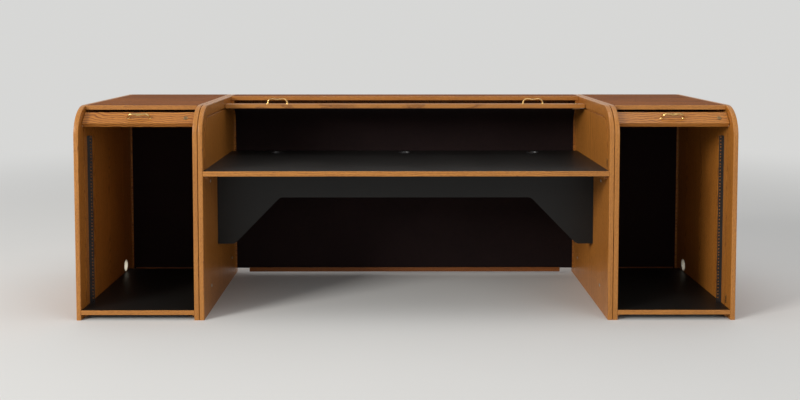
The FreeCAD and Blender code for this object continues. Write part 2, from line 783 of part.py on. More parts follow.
def build_centre_tambour():
    track = centre_track
    reach = groove_depth - slat_end_clearance
    run_start = centre_rail_setback + rail_width + slat_gap
    run_end = run_start + centre_slat_count * slat_pitch
    strip_end = min(run_end, track.rear_bend) - slat_gap
    first = math.pi / 2 * track.front_radius + run_end - corner_radius
    save("centre_slats", *curtain(track, -centre_half, centre_half, first))
    save("centre_canvas", canvas(track, -centre_half, centre_half, *canvas_path(track, strip_end + slat_gap)))
    run = [slat(-centre_half - reach, centre_half + reach, run_start + (index + 0.5) * slat_pitch,
                track.height, 90.0) for index in range(centre_slat_count)]
    strip = block(-centre_half + canvas_inset, centre_half - canvas_inset, run_start, strip_end,
                  track.height - half_slat - canvas_thickness, track.height - half_slat)
    save("centre_run_slats", strip, *run)
    nose_end = run_start - slat_gap / 2
    save("centre_nose_slat", block(-centre_half + rail_end_gap, centre_half - rail_end_gap,
                                   nose_end - nose_length, nose_end,
                                   track.height - half_slat, track.height + half_slat))
    save("centre_tail_batten", tail_batten(track, -centre_half, centre_half, centre_tail_inset))


# ---------------------------------------------------------------- lead rails, pulls and locks
def rail_board(frame):
    return frame.block(frame.x_low + rail_end_gap, frame.x_high - rail_end_gap,
                       frame.foot, frame.foot + rail_width, frame.back, frame.face)


def pull_middle(frame):
    return frame.foot + rail_width / 2


def pull(frame, x):
    """Arched pull: two flared feet, two bends and a straight grip."""
    a, face = pull_middle(frame), frame.face
    bend_b = face + pull_projection - pull_radius - pull_bend
    half_grip = pull_centres / 2 - pull_bend
    path, profile_spot = [], FreeCAD.Vector(x - pull_centres / 2, -face - pull_foot_height, a)
    low_left = FreeCAD.Vector(x - pull_centres / 2, -bend_b, a)
    mid_left = FreeCAD.Vector(x - half_grip - pull_bend * math.cos(math.pi / 4),
                              -bend_b - pull_bend * math.sin(math.pi / 4), a)
    top_left = FreeCAD.Vector(x - half_grip, -bend_b - pull_bend, a)
    path.append(Part.LineSegment(profile_spot, low_left).toShape())
    path.append(Part.Arc(low_left, mid_left, top_left).toShape())
    middle = FreeCAD.Vector(x, -bend_b - pull_bend, a)
    path.append(Part.LineSegment(top_left, middle).toShape())
    circle = Part.Wire(Part.makeCircle(pull_radius, profile_spot, FreeCAD.Vector(0, -1, 0)))
    half = Part.Wire(path).makePipeShell([circle], True, False)
    foot = frame.cone(x - pull_centres / 2, a, face, face + pull_foot_height, pull_foot_radius, pull_radius)
    half = half.fuse(foot)
    half = half.cut(frame.rod(x - pull_centres / 2, a, face, bend_b, pull_screw_radius + running_clearance))
    other = half.mirror(FreeCAD.Vector(x, 0, 0), FreeCAD.Vector(1, 0, 0))
    return half.fuse(other).removeSplitter()


def pull_screw(frame, x):
    a = pull_middle(frame)
    tip = frame.face + pull_projection - pull_radius - pull_bend
    shaft = frame.rod(x, a, frame.back, tip, pull_screw_radius)
    return shaft.fuse(frame.rod(x, a, frame.back - pull_screw_head, frame.back, pull_screw_head_radius))


def pull_screw_places(x):
    return (x - pull_centres / 2, x + pull_centres / 2)


def lock_centre(frame):
    return frame.x_high - lock_inset, frame.foot + lock_height


def lock_case(frame):
    """Barrel through the rail with a bezel, and a case on the rail's back with the bolt channel."""
    x, a = lock_centre(frame)
    back = frame.back
    barrel = frame.rod(x, a, back, frame.face, barrel_radius)
    bezel = frame.rod(x, a, frame.face, frame.face + bezel_height, bezel_radius)
    case = frame.block(x - lock_case_width / 2, x + lock_case_width / 2, a - lock_case_height / 2,
                       a + lock_case_height / 2, back - lock_case_thickness, back)
    channel = frame.block(x - lock_case_width / 2 + bolt_height / 2, x + lock_case_width / 2,
                          a - bolt_height / 2 - bolt_clearance, a + bolt_height / 2 + bolt_clearance,
                          back - bolt_thickness - 2 * bolt_clearance, back)
    bore = frame.rod(x, a, back, frame.face + bezel_height, plug_radius + running_clearance)
    return barrel.fuse([bezel, case]).cut([channel, bore])


def lock_plug(frame):
    """Keyed plug with the eccentric pin that moves the bolt; drawn back at rest."""
    x, a = lock_centre(frame)
    body = frame.rod(x, a, frame.back, frame.face + bezel_height, plug_radius)
    top = frame.face + bezel_height
    keyway = frame.block(x - keyway_width / 2, x + keyway_width / 2, a - keyway_length / 2,
                         a + keyway_length / 2, top - keyway_depth, top)
    swing = drive_pin_offset * math.sin(math.pi / 4)
    pin = frame.rod(x - swing, a - swing, frame.back - bolt_thickness, frame.back, drive_pin_radius)
    return body.cut(keyway).fuse(pin)


def lock_bolt(frame):
    """Flat bolt with the slot that the eccentric pin works in."""
    x, a = lock_centre(frame)
    b_high = frame.back - bolt_clearance
    bolt = frame.block(x - lock_case_width / 2 + bolt_height, frame.x_high - bolt_tip_gap,
                       a - bolt_height / 2, a + bolt_height / 2, b_high - bolt_thickness, b_high)
    swing = drive_pin_offset * math.sin(math.pi / 4)
    half_slot = drive_pin_radius + drive_slot_clearance
    slot = frame.block(x - swing - half_slot, x - swing + half_slot, a - bolt_height / 2,
                       a - swing + drive_pin_offset + half_slot, b_high - bolt_thickness, b_high)
    return bolt.cut(slot)


def finish_rail(frame, board, pulls_at):
    """Drill the board for its lock and pull screws."""
    x, a = lock_centre(frame)
    cuts = [frame.rod(x, a, frame.back, frame.face, barrel_radius + running_clearance)]
    for middle in pulls_at:
        for screw_x in pull_screw_places(middle):
            cuts.append(frame.rod(screw_x, pull_middle(frame), frame.back, frame.face,
                                  pull_screw_radius + running_clearance))
    return board.cut(cuts)


def save_rail_fittings(name, frame, pulls_at):
    pieces = []
    for x in pulls_at:
        pieces.append(pull(frame, x))
        pieces += [pull_screw(frame, screw_x) for screw_x in pull_screw_places(x)]
    save(name + ("_pull" if len(pulls_at) == 1 else "_pulls"), *[frame.park(piece) for piece in pieces])
    save(name + "_lock_case", frame.park(lock_case(frame)))
    save(name + "_lock_plug", frame.park(lock_plug(frame)))
    save(name + "_lock_bolt", frame.park(lock_bolt(frame)))


def build_centre_rail():
    pulls_at = (-centre_pull_offset, centre_pull_offset)
    board = finish_rail(centre_frame, rail_board(centre_frame), pulls_at)
    save("centre_lead_rail", centre_frame.park(board))
    save_rail_fittings("centre", centre_frame, pulls_at)


def pedestal_rail(frame):
    """Face board with a pivot batten below and a curtain batten above, on its back."""
    board = rail_board(frame)
    x_low, x_high = frame.x_low + rail_end_gap, frame.x_high - rail_end_gap
    lower = frame.block(x_low, x_high, frame.foot, frame.foot + rail_batten,
                        -pivot_radius - pivot_cover, frame.back)
    slat_plane = -pivot_offset + half_slat + rail_batten_clearance
    top = frame.foot + rail_width
    upper = frame.block(x_low, x_high, top - rail_batten, top, slat_plane, frame.back)
    rail = board.fuse([lower, upper]).removeSplitter()
    bore = pivot_length + plate_gap
    sockets = [Part.makeCylinder(pivot_radius + running_clearance, bore, FreeCAD.Vector(x, 0, 0),
                                 FreeCAD.Vector(1, 0, 0)) for x in (x_low, x_high - bore)]
    return rail.cut(sockets)


def guide_shoe(frame, x_face, side):
    """Shoe in the track, pivot plate and pivot pin; side points into the bay."""
    shoe_half = half_groove - shoe_clearance
    deep = x_face - side * (groove_depth - shoe_clearance)
    plate_x = sorted((x_face + side * plate_gap, x_face + side * (plate_gap + plate_thickness)))
    shoe_x = sorted((deep, x_face + side * plate_gap))
    centre = -pivot_offset
    shoe = frame.block(*shoe_x, -shoe_height / 2, shoe_height / 2, centre - shoe_half, centre + shoe_half)
    plate = frame.block(*plate_x, -shoe_height / 2, shoe_height / 2, centre - shoe_half,
                        pivot_radius + plate_rim)
    pin_x = sorted((plate_x[0] if side > 0 else plate_x[1], x_face + side * (rail_end_gap + pivot_length)))
    pin = Part.makeCylinder(pivot_radius, pin_x[1] - pin_x[0], FreeCAD.Vector(pin_x[0], 0, 0),
                            FreeCAD.Vector(1, 0, 0))
    shape = shoe.fuse([plate, pin])
    shape.translate(spot(0, pedestal_pivot_depth, pedestal_park_height))
    return shape


def build_pedestal_rail(name, frame):
    middle = (frame.x_low + frame.x_high) / 2
    board = finish_rail(frame, pedestal_rail(frame), (middle,))
    save(name + "_lead_rail", frame.park(board))
    save_rail_fittings(name, frame, (middle,))
    save(name + "_guide_shoes", guide_shoe(frame, frame.x_low, 1), guide_shoe(frame, frame.x_high, -1))


def build_strikes():
    """Slotted strike plates let into the panels where each closed tambour locks."""
    plates = []
    slot_height = bolt_height + 2 * pocket_margin
    slot_width = bolt_thickness + 2 * pocket_margin
    for x, (depth, height) in ((-pedestal_near, pedestal_shut_bolt), (centre_half, centre_shut_bolt),
                               (pedestal_far, pedestal_shut_bolt)):
        plate = block(x, x + strike_thickness, depth - strike_width / 2, depth + strike_width / 2,
                      height - strike_height / 2, height + strike_height / 2)
        slot = block(x, x + strike_thickness, depth - slot_width / 2, depth + slot_width / 2,
                     height - slot_height / 2, height + slot_height / 2)
        plates.append(plate.cut(slot))
    save("strike_plates", *plates)


os.makedirs("parts", exist_ok=True)
build_sides()
build_tops()
build_bases()
build_worktop()
build_modesty_panel()
build_back_panels()
build_cleats()
build_connectors()
build_cable_sleeves()
build_rack_rails()
build_pedestal_tambour("left", -pedestal_far, -pedestal_near)
build_pedestal_tambour("right", pedestal_near, pedestal_far)
build_centre_tambour()
build_centre_rail()
build_pedestal_rail("left", left_frame)
build_pedestal_rail("right", right_frame)
build_strikes()
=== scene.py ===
"""Looks of a three-bay tambour desk in oak and black laminate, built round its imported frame.

Lengths are metres in the desk's own frame: +Z up, +X to the sitter's right, the open front
faces -Y.  The tambours are drawn open.
"""

import json
import logging
import math
from dataclasses import dataclass
from enum import Enum
from typing import Callable, Sequence

import bmesh
import bpy
from mathutils import Euler, Matrix, Vector

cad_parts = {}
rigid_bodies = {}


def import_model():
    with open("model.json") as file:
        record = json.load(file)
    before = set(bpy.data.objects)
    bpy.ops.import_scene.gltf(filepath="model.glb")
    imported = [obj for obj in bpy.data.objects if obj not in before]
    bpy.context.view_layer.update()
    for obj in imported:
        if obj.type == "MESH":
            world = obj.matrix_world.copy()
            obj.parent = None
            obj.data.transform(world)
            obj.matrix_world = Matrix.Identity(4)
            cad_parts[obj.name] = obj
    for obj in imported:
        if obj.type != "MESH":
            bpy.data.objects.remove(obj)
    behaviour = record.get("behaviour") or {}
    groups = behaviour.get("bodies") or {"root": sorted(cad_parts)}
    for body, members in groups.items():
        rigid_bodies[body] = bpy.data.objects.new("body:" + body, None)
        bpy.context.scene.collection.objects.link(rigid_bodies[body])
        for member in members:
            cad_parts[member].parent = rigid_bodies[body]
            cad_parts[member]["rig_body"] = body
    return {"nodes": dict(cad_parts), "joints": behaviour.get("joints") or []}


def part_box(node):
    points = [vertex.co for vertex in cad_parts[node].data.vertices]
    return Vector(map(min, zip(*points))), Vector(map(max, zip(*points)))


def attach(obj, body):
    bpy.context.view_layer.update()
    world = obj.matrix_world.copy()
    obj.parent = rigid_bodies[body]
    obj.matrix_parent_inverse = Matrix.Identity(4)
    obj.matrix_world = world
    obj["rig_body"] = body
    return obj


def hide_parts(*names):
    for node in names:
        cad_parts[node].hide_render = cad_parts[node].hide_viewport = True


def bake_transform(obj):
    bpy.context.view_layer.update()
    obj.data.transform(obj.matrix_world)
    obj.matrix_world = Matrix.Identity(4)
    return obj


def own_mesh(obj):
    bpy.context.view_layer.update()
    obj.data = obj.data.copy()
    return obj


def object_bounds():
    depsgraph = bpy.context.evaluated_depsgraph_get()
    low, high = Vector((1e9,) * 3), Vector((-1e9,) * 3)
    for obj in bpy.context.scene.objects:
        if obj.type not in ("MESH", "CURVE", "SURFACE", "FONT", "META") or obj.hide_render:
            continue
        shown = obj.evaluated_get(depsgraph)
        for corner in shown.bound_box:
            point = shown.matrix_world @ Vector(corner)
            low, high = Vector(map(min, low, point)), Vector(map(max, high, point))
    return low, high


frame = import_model()
cad_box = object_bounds()

LOG = logging.getLogger("tambour_desk")

Colour = tuple[float, float, float]
Socket = bpy.types.NodeSocket
Object = bpy.types.Object
Material = bpy.types.Material
Shape = bmesh.types.BMesh
Outline = Sequence[tuple[float, float]]
Box = tuple[Vector, Vector]             # lowest and highest corner
Place = tuple[Vector, Vector]           # a point and the way that what stands there looks
PointMap = Callable[[Vector], Vector]
Carry = Callable[[Object], str | None]  # says what a piece rides on; None where it rides on no body

BAYS = ("left", "centre", "right")
X_AXIS, Y_AXIS, Z_AXIS = Vector((1, 0, 0)), Vector((0, 1, 0)), Vector((0, 0, 1))
QUARTER = math.pi / 2
HALVINGS = 50                   # steps of a search by halving
WELD = 1e-5                     # vertices nearer than this are one
FLAT = math.radians(0.4)        # faces that turn less than this are one board face
SHARP = math.radians(32.0)      # edges that turn more than this are eased
SMOOTH = math.radians(15.0)     # edges that turn less than this are shaded round
SMOOTH_BAKED = math.radians(28.0)   # the same on a baked piece
STRIP_MAP = "UVMap"             # name of the map that strips carry
STRIP_TONE = "piece_tone"       # attribute that varies from strip to strip
BATTEN_EASING = 0.001
SPIN_SEED = 11
TONE_SEED = 5


class Slot(Enum):
    """The record's material slots, named with each new piece; nothing here applies them."""

    OAK = "oak"
    OAK_EDGE = "oak_edge"
    LAMINATE = "black_laminate"
    BRASS = "brass"
    CANVAS = "canvas"
    NYLON = "nylon"
    PLASTIC = "black_plastic"
    LOCK = "lock_nickel"
    ZINC = "zinc_steel"


class Side(Enum):
    """The two pedestals, as they stand in piece names."""

    LEFT = "left"
    RIGHT = "right"


# ------------------------------------------------------------------ node trees
def opaque(value: object) -> object:
    """A colour with the alpha that Blender wants; anything else as it is."""
    return (*value, 1.0) if isinstance(value, tuple) else value


class Tree:
    """A thin builder for a node tree, of a material or of geometry."""

    def __init__(self, tree: bpy.types.NodeTree) -> None:
        """Take over an empty node tree."""
        self.tree = tree

    def add(self, kind: str, inputs: dict | None = None, **settings: object) -> bpy.types.Node:
        """Add a node, set it up and feed its inputs.

        Args:
            kind: Blender's name for the node type.
            inputs: values or sockets by input name or index.
            settings: properties of the node itself.

        Returns:
            The new node.
        """
        node = self.tree.nodes.new(kind)
        for key, value in settings.items():
            setattr(node, key, value)
        for key, value in (inputs or {}).items():
            self.feed(node.inputs[key], value)
        return node

    def feed(self, socket: Socket, value: object) -> None:
        """Link a socket to another one, or set its own value.

        Args:
            socket: the input.
            value: an output to link it to, or its value.
        """
        if isinstance(value, bpy.types.NodeSocket):
            self.tree.links.new(value, socket)
        else:
            socket.default_value = value

    def math(self, operation: str, *values: object) -> Socket:
        """One arithmetic step on numbers or sockets, in order."""
        return self.add("ShaderNodeMath", dict(enumerate(values)), operation=operation).outputs[0]

    def total(self, *parts: tuple[object, float]) -> Socket:
        """A weighted sum.

        Args:
            parts: each value with its weight.

        Returns:
            The sum's socket.
        """
        result: object = 0.0
        for value, weight in parts:
            result = self.math("MULTIPLY_ADD", value, weight, result)
        return result

    def combine(self, x: object, y: object, z: object) -> Socket:
        """A vector from three numbers or sockets."""
        return self.add("ShaderNodeCombineXYZ", {0: x, 1: y, 2: z}).outputs[0]


class Shade(Tree):
    """The node tree of one material, with its surface shader in place."""

    def __init__(self, name: str) -> None:
        """Make an empty material.

        Args:
            name: the material's name.
        """
        self.material = bpy.data.materials.new(name)
        self.material.use_nodes = True
        super().__init__(self.material.node_tree)
        self.tree.nodes.clear()
        self.surface = self.add("ShaderNodeBsdfPrincipled")
        self.add("ShaderNodeOutputMaterial", {"Surface": self.surface.outputs["BSDF"]})

    def dress(self, **inputs: object) -> None:
        """Feed the surface shader's inputs, named with underscores for spaces."""
        for key, value in inputs.items():
            self.feed(self.surface.inputs[key.replace("_", " ")], opaque(value))

    def place(self) -> Socket:
        """The point on the piece, in metres."""
        return self.add("ShaderNodeTexCoord").outputs["Object"]

    def strip(self) -> Socket:
        """The piece's own map, in metres along it and round it."""
        return self.add("ShaderNodeUVMap", uv_map=STRIP_MAP).outputs[0]

    def noise(self, vector: Socket, scale: float, detail: float = 2.0,
              roughness: float = 0.5) -> Socket:
        """Smooth noise from 0 to 1, so many waves to the metre."""
        inputs = {"Vector": vector, "Scale": scale, "Detail": detail, "Roughness": roughness}
        return self.add("ShaderNodeTexNoise", inputs).outputs[0]

    def spread(self, value: Socket, low: float, high: float, to_low: float = 0.0, to_high: float = 1.0,
               soft: bool = True) -> Socket:
        """Stretch a value from one range to another, held at its ends.

        Args:
            value: what is stretched.
            low: what becomes to_low.
            high: what becomes to_high.
            to_low: the result's first end.
            to_high: its other end.
            soft: ease in and out of the ends.

        Returns:
            The result's socket.
        """
        inputs = {0: value, 1: low, 2: high, 3: to_low, 4: to_high}
        kind = "SMOOTHSTEP" if soft else "LINEAR"
        return self.add("ShaderNodeMapRange", inputs, interpolation_type=kind).outputs[0]

    def blend(self, factor: object, first: object, second: object) -> Socket:
        """Mix two colours or sockets; a factor of 1 gives the second."""
        inputs = {0: factor, 6: opaque(first), 7: opaque(second)}
        return self.add("ShaderNodeMix", inputs, data_type="RGBA").outputs[2]

    def bump(self, height: Socket, depth: float, strength: float = 1.0) -> Socket:
        """A surface normal from a height of 0 to 1, with its depth in metres."""
        inputs = {"Height": height, "Distance": depth, "Strength": strength}
        return self.add("ShaderNodeBump", inputs).outputs[0]


# ------------------------------------------------------------------ finishes
class Grain(Enum):
    """Axes along the grain, across it and out of the board's face."""

    UPRIGHT_SIDE = ("Z", "Y", "X")
    UPRIGHT_BACK = ("Z", "X", "Y")
    LEVEL_TOP = ("X", "Y", "Z")
    LEVEL_FRONT = ("X", "Z", "Y")


@dataclass(frozen=True)
class Figure:
    """One layer of a wood's figure: noise drawn out along the grain."""

    stretch: float                  # share of the length along the grain that it counts
    scale: float                    # its frequency across the grain, per metre
    detail: float                   # octaves
    roughness: float = 0.6          # weight of the finer octaves
    marks: tuple[float, float] | None = None    # noise where it starts to show, and shows wholly

    def draw(self, shade: Shade, axes: Sequence[Socket]) -> Socket:
        """Draw the layer.

        Args:
            shade: the material's tree.
            axes: distances along the grain, across it and out of the face.

        Returns:
            The socket of its strength, from 0 to 1.
        """
        along, across, out = axes
        place = shade.combine(shade.math("MULTIPLY", along, self.stretch), across, out)
        noise = shade.noise(place, self.scale, self.detail, self.roughness)
        return shade.spread(noise, *self.marks) if self.marks else noise


HEART_DRIFT = Figure(0.80, 2.3, 2.0, 0.45)
RING_TREMBLE = Figure(0.12, 90.0, 2.0, 0.45)
FINE_PORES = Figure(0.035, 1900.0, 1.0, marks=(0.54, 0.66))
OPEN_PORES = Figure(0.060, 900.0, 1.0, marks=(0.52, 0.64))
MOTTLE = Figure(0.28, 330.0, 2.0)
FIBRES = Figure(0.012, 620.0, 3.0)
BANDS = Figure(0.050, 55.0, 3.0)
FLECKS = Figure(0.40, 150.0, 1.0, marks=(0.66, 0.78))
TONE_DRIFT = Figure(0.30, 5.0, 3.0)


@dataclass(frozen=True)
class Oak:
    """Lacquered oak: growth rings, open pores, fine fibres and a slow drift of tone."""

    name: str
    grain: Grain
    light: Colour = (0.500, 0.190, 0.030)
    dark: Colour = (0.235, 0.070, 0.009)
    pore: Colour = (0.075, 0.020, 0.003)
    ring_pitch: float = 0.0062
    heart: float = 0.035            # how far the tree's heart lies under the face
    wander: float = 0.070           # how far the heart drifts under the face
    sway: float = 0.05              # how far it drifts sideways
    straight_sway: float = 0.02     # the same where the grain is straight
    wave: float = 0.006             # how far the rings waver
    curl: float = 0.30              # how quickly they waver along the grain
    waver_scale: float = 13.0       # and across it, per metre
    tremble: float = 0.0022         # how far they tremble
    leaf: float = 0.230             # width of one veneer leaf, laid as mirrored pairs
    shift: float = 0.0              # moves the pattern, so that boards differ
    straight: float = 0.0           # 1 for quarter-cut, straight grain
    contrast: float = 0.30          # how dark the start of each ring is
    speckle: float = 0.30           # strength of the short flecks between the pores
    streak: float = 0.55            # strength of the slow drift of tone
    roughness: float = 0.38
    pore_roughness: float = 0.20    # what the pores add to it
    gloss: float = 0.36             # specular level under the lacquer
    coat: float = 0.12
    coat_roughness: float = 0.17
    relief: float = 0.00012         # depth of the pores
    fibre_relief: float = 0.25      # depth of the fibres, as a share of it
    on_strips: bool = False         # read the piece's strip map, and vary from strip to strip
    strip_shift: float = 31.0       # how far a strip's tone moves the pattern along the grain
    strip_slip: float = 1.7         # and across it
    early_full: float = 0.07        # phase of a ring by which its early wood is full
    early_end: tuple[float, float] = (0.12, 0.52)       # phases between which it ends
    late_pores: float = 0.30        # share of the fine pores that late wood keeps
    base_tone: float = -0.24        # what the tone starts from
    fibre_tone: float = 0.40        # what the layers add to it
    band_tone: float = 0.70
    fleck_tone: float = 0.20
    pore_tone: float = 0.85

    def board_axes(self, shade: Shade) -> tuple[Socket, Socket, Socket]:
        """The three axes that the figure is drawn on.

        Args:
            shade: the material's tree.

        Returns:
            Distances along the grain, across it and out of the face.
        """
        if not self.on_strips:
            axes = shade.add("ShaderNodeSeparateXYZ", {0: shade.place()}).outputs
            along, across, out = (axes[name] for name in self.grain.value)
            return shade.math("ADD", along, self.shift), across, out
        axes = shade.add("ShaderNodeSeparateXYZ", {0: shade.strip()}).outputs
        tone = shade.add("ShaderNodeAttribute", attribute_name=STRIP_TONE).outputs["Fac"]
        along = shade.math("MULTIPLY_ADD", tone, self.strip_shift, axes["X"])
        return along, shade.math("MULTIPLY_ADD", tone, self.strip_slip, axes["Y"]), tone

    def rings(self, shade: Shade, axes: Sequence[Socket]) -> Socket:
        """Phase of the growth rings, 0 to 1 within each ring.

        Args:
            shade: the material's tree.
            axes: distances along the grain, across it and out of the face.

        Returns:
            The phase's socket.
        """
        drift, waver, fine = (
            shade.math("SUBTRACT", layer.draw(shade, axes), 0.5)
            for layer in (HEART_DRIFT, Figure(self.curl, self.waver_scale, 2.0, 0.45), RING_TREMBLE))
        far_side = 10.0             # keeps the folded distance above 0
        folded = shade.math("PINGPONG", shade.math("ADD", axes[1], far_side + self.shift), self.leaf)
        offset = shade.total((folded, 1.0), (drift, self.sway), (1.0, -self.leaf / 2))
        height = shade.total((drift, 2.0 * self.wander), (1.0, self.heart))
        crown = shade.math("SQRT", shade.math("ADD", shade.math("MULTIPLY", offset, offset),
                                              shade.math("MULTIPLY", height, height)))
        level = shade.total((folded, 1.0), (drift, self.straight_sway))
        radius = shade.add("ShaderNodeMix", {0: self.straight, 2: crown, 3: level}).outputs[0]
        radius = shade.total((radius, 1.0), (waver, 2.0 * self.wave), (fine, self.tremble))
        return shade.math("FRACT", shade.math("DIVIDE", radius, self.ring_pitch))

    def make(self) -> Material:
        """Build the material.

        Returns:
            The material.
        """
        shade = Shade(self.name)
        axes = self.board_axes(shade)
        phase = self.rings(shade, axes)
        end_start, end_stop = self.early_end
        early = shade.math("MULTIPLY", shade.spread(phase, 0.0, self.early_full),
                           shade.spread(phase, end_stop, end_start))
        fine_pores = FINE_PORES.draw(shade, axes)
        kept = shade.total((early, 1.0 - self.late_pores), (1.0, self.late_pores))
        fine_pores = shade.math("MULTIPLY", fine_pores, kept)
        open_pores = shade.math("MULTIPLY", OPEN_PORES.draw(shade, axes), early)
        pores = shade.math("MAXIMUM", fine_pores, open_pores)
        mottle, fibres, bands = (layer.draw(shade, axes) for layer in (MOTTLE, FIBRES, BANDS))
        flecks, drift = FLECKS.draw(shade, axes), TONE_DRIFT.draw(shade, axes)
        level = self.base_tone - self.speckle - 0.5 * self.streak
        tone = shade.total((early, self.contrast), (fibres, self.fibre_tone), (bands, self.band_tone),
                           (drift, self.streak), (mottle, 2.0 * self.speckle), (1.0, level))
        tone = shade.math("MINIMUM", shade.math("MAXIMUM", tone, 0.0), 1.0)
        wood = shade.blend(tone, self.light, self.dark)
        wood = shade.blend(shade.math("MULTIPLY", flecks, self.fleck_tone), wood, self.light)
        wood = shade.blend(shade.math("MULTIPLY", pores, self.pore_tone), wood, self.pore)
        relief = shade.total((fibres, self.fibre_relief), (pores, -1.0))
        rough = shade.spread(pores, 0.0, 1.0, self.roughness, self.roughness + self.pore_roughness,
                             soft=False)
        shade.dress(Base_Color=wood, Roughness=rough, Normal=shade.bump(relief, self.relief, 0.7),
                    Coat_Weight=self.coat, Coat_Roughness=self.coat_roughness,
                    Specular_IOR_Level=self.gloss)
        return shade.material


@dataclass(frozen=True)
class Laminate:
    """Black laminate with a fine pebbled face, a slight haze and rubbed marks."""

    name: str = "black_laminate"
    colour: Colour = (0.0075, 0.0071, 0.0066)
    haze: Colour = (0.0120, 0.0112, 0.0102)
    pebble: float = 950.0           # pebbles per metre
    cloud: float = 3.5              # clouds of haze per metre
    rub: float = 3.0                # rubbed marks per metre, before they are squeezed
    squeeze: tuple[float, float, float] = (6.0, 40.0, 40.0)
    roughness: tuple[float, float] = (0.40, 0.45)       # where it is clear, and in the haze
    rub_roughness: float = 0.05     # what the marks add to it
    relief: float = 0.00006
    gloss: float = 0.24

    def make(self) -> Material:
        """Build the material.

        Returns:
            The material.
        """
        shade = Shade(self.name)
        place = shade.place()
        inputs = {"Vector": place, "Scale": self.pebble}
        pebble = shade.add("ShaderNodeTexVoronoi", inputs).outputs["Distance"]
        cloud = shade.noise(place, self.cloud, 3.0)
        squeezed = shade.add("ShaderNodeMapping", {"Vector": place, "Scale": self.squeeze}).outputs[0]
        rubs = shade.spread(shade.noise(squeezed, self.rub, 3.0), 0.60, 0.80)
        colour = shade.blend(shade.spread(cloud, 0.2, 0.9), self.colour, self.haze)
        rough = shade.total((shade.spread(cloud, 0.2, 0.8, *self.roughness), 1.0),
                            (rubs, self.rub_roughness))
        shade.dress(Base_Color=colour, Roughness=rough, Normal=shade.bump(pebble, self.relief, 0.55),
                    Specular_IOR_Level=self.gloss)
        return shade.material


@dataclass(frozen=True)
class Canvas:
    """Black plain-weave canvas glued behind the slats, a little dusty."""

    name: str = "canvas"
    thread: float = 0.0011          # from one thread to the next
    dark: Colour = (0.0060, 0.0028, 0.0029)
    light: Colour = (0.0200, 0.0095, 0.0092)
    slub: float = 55.0              # thick places per metre
    dust: float = 4.0               # dusty patches per metre
    weave_tone: float = 0.45        # how much of the tone the weave gives; slubs give the rest
    roughness: float = 0.92
    relief: float = 0.0003
    sheen: float = 0.08
    gloss: float = 0.12

    def make(self) -> Material:
        """Build the material.

        Returns:
            The material.
        """
        shade = Shade(self.name)
        strip = shade.strip()
        axes = shade.add("ShaderNodeSeparateXYZ", {0: strip}).outputs
        turns = math.pi / self.thread
        warp, weft = (shade.math("SINE", shade.math("MULTIPLY", axes[k], turns)) for k in (0, 1))
        weave = shade.spread(shade.math("MULTIPLY", warp, weft), -1.0, 1.0)
        slub = shade.noise(strip, self.slub, 3.0, 0.6)
        dust = shade.noise(strip, self.dust, 4.0, 0.6)
        amount = shade.total((weave, self.weave_tone), (slub, 1.0 - self.weave_tone))
        colour = shade.blend(shade.math("MULTIPLY", amount, shade.spread(dust, 0.2, 0.8, 0.5, 1.0)),
                             self.dark, self.light)
        shade.dress(Base_Color=colour, Roughness=self.roughness,
                    Normal=shade.bump(weave, self.relief, 0.6), Sheen_Weight=self.sheen,
                    Specular_IOR_Level=self.gloss)
        return shade.material


@dataclass(frozen=True)
class Metal:
    """A metal, bright or plated, with hazy hand marks and a fine grain."""

    name: str
    colour: Colour
    tarnish: Colour
    roughness: float
    spread: float = 0.10            # how much the haze varies the roughness
    haze: float = 38.0              # patches of haze per metre
    grain: float = 300.0            # marks per metre
    grain_roughness: float = 0.04   # how much they vary the roughness
    tarnished: float = 0.55         # how far the haze turns to the tarnish's colour
    relief: float = 0.00002
    coat: float = 0.0
    coat_roughness: float = 0.10

    def make(self) -> Material:
        """Build the material.

        Returns:
            The material.
        """
        shade = Shade(self.name)
        place = shade.place()
        haze = shade.noise(place, self.haze, 4.0, 0.6)
        grain = shade.noise(place, self.grain, 2.0, 0.6)
        colour = shade.blend(shade.spread(haze, 0.42, 0.80, 0.0, self.tarnished), self.colour,
                             self.tarnish)
        haze_rough = shade.spread(haze, 0.3, 0.75, self.roughness, self.roughness + self.spread)
        rough = shade.total((haze_rough, 1.0), (grain, self.grain_roughness))
        shade.dress(Base_Color=colour, Metallic=1.0, Roughness=rough,
                    Normal=shade.bump(grain, self.relief, 0.4), Coat_Weight=self.coat,
                    Coat_Roughness=self.coat_roughness)
        return shade.material


@dataclass(frozen=True)
class Moulded:
    """Plastic or powder coat: even colour, fine pimpled face."""

    name: str
    colour: Colour
    mottle: Colour
    roughness: float
    cloud_roughness: float = 0.08   # how much its clouds vary the roughness
    pimple: float = 1400.0          # pimples per metre
    relief: float = 0.00003
    cloud: float = 22.0             # changes of tone per metre

    def make(self) -> Material:
        """Build the material.

        Returns:
            The material.
        """
        shade = Shade(self.name)
        place = shade.place()
        pimples = shade.noise(place, self.pimple, 1.0)
        cloud = shade.noise(place, self.cloud, 3.0)
        colour = shade.blend(shade.spread(cloud, 0.35, 0.70), self.colour, self.mottle)
        rough = shade.spread(cloud, 0.3, 0.7, self.roughness, self.roughness + self.cloud_roughness)
        shade.dress(Base_Color=colour, Roughness=rough, Normal=shade.bump(pimples, self.relief, 0.6))
        return shade.material


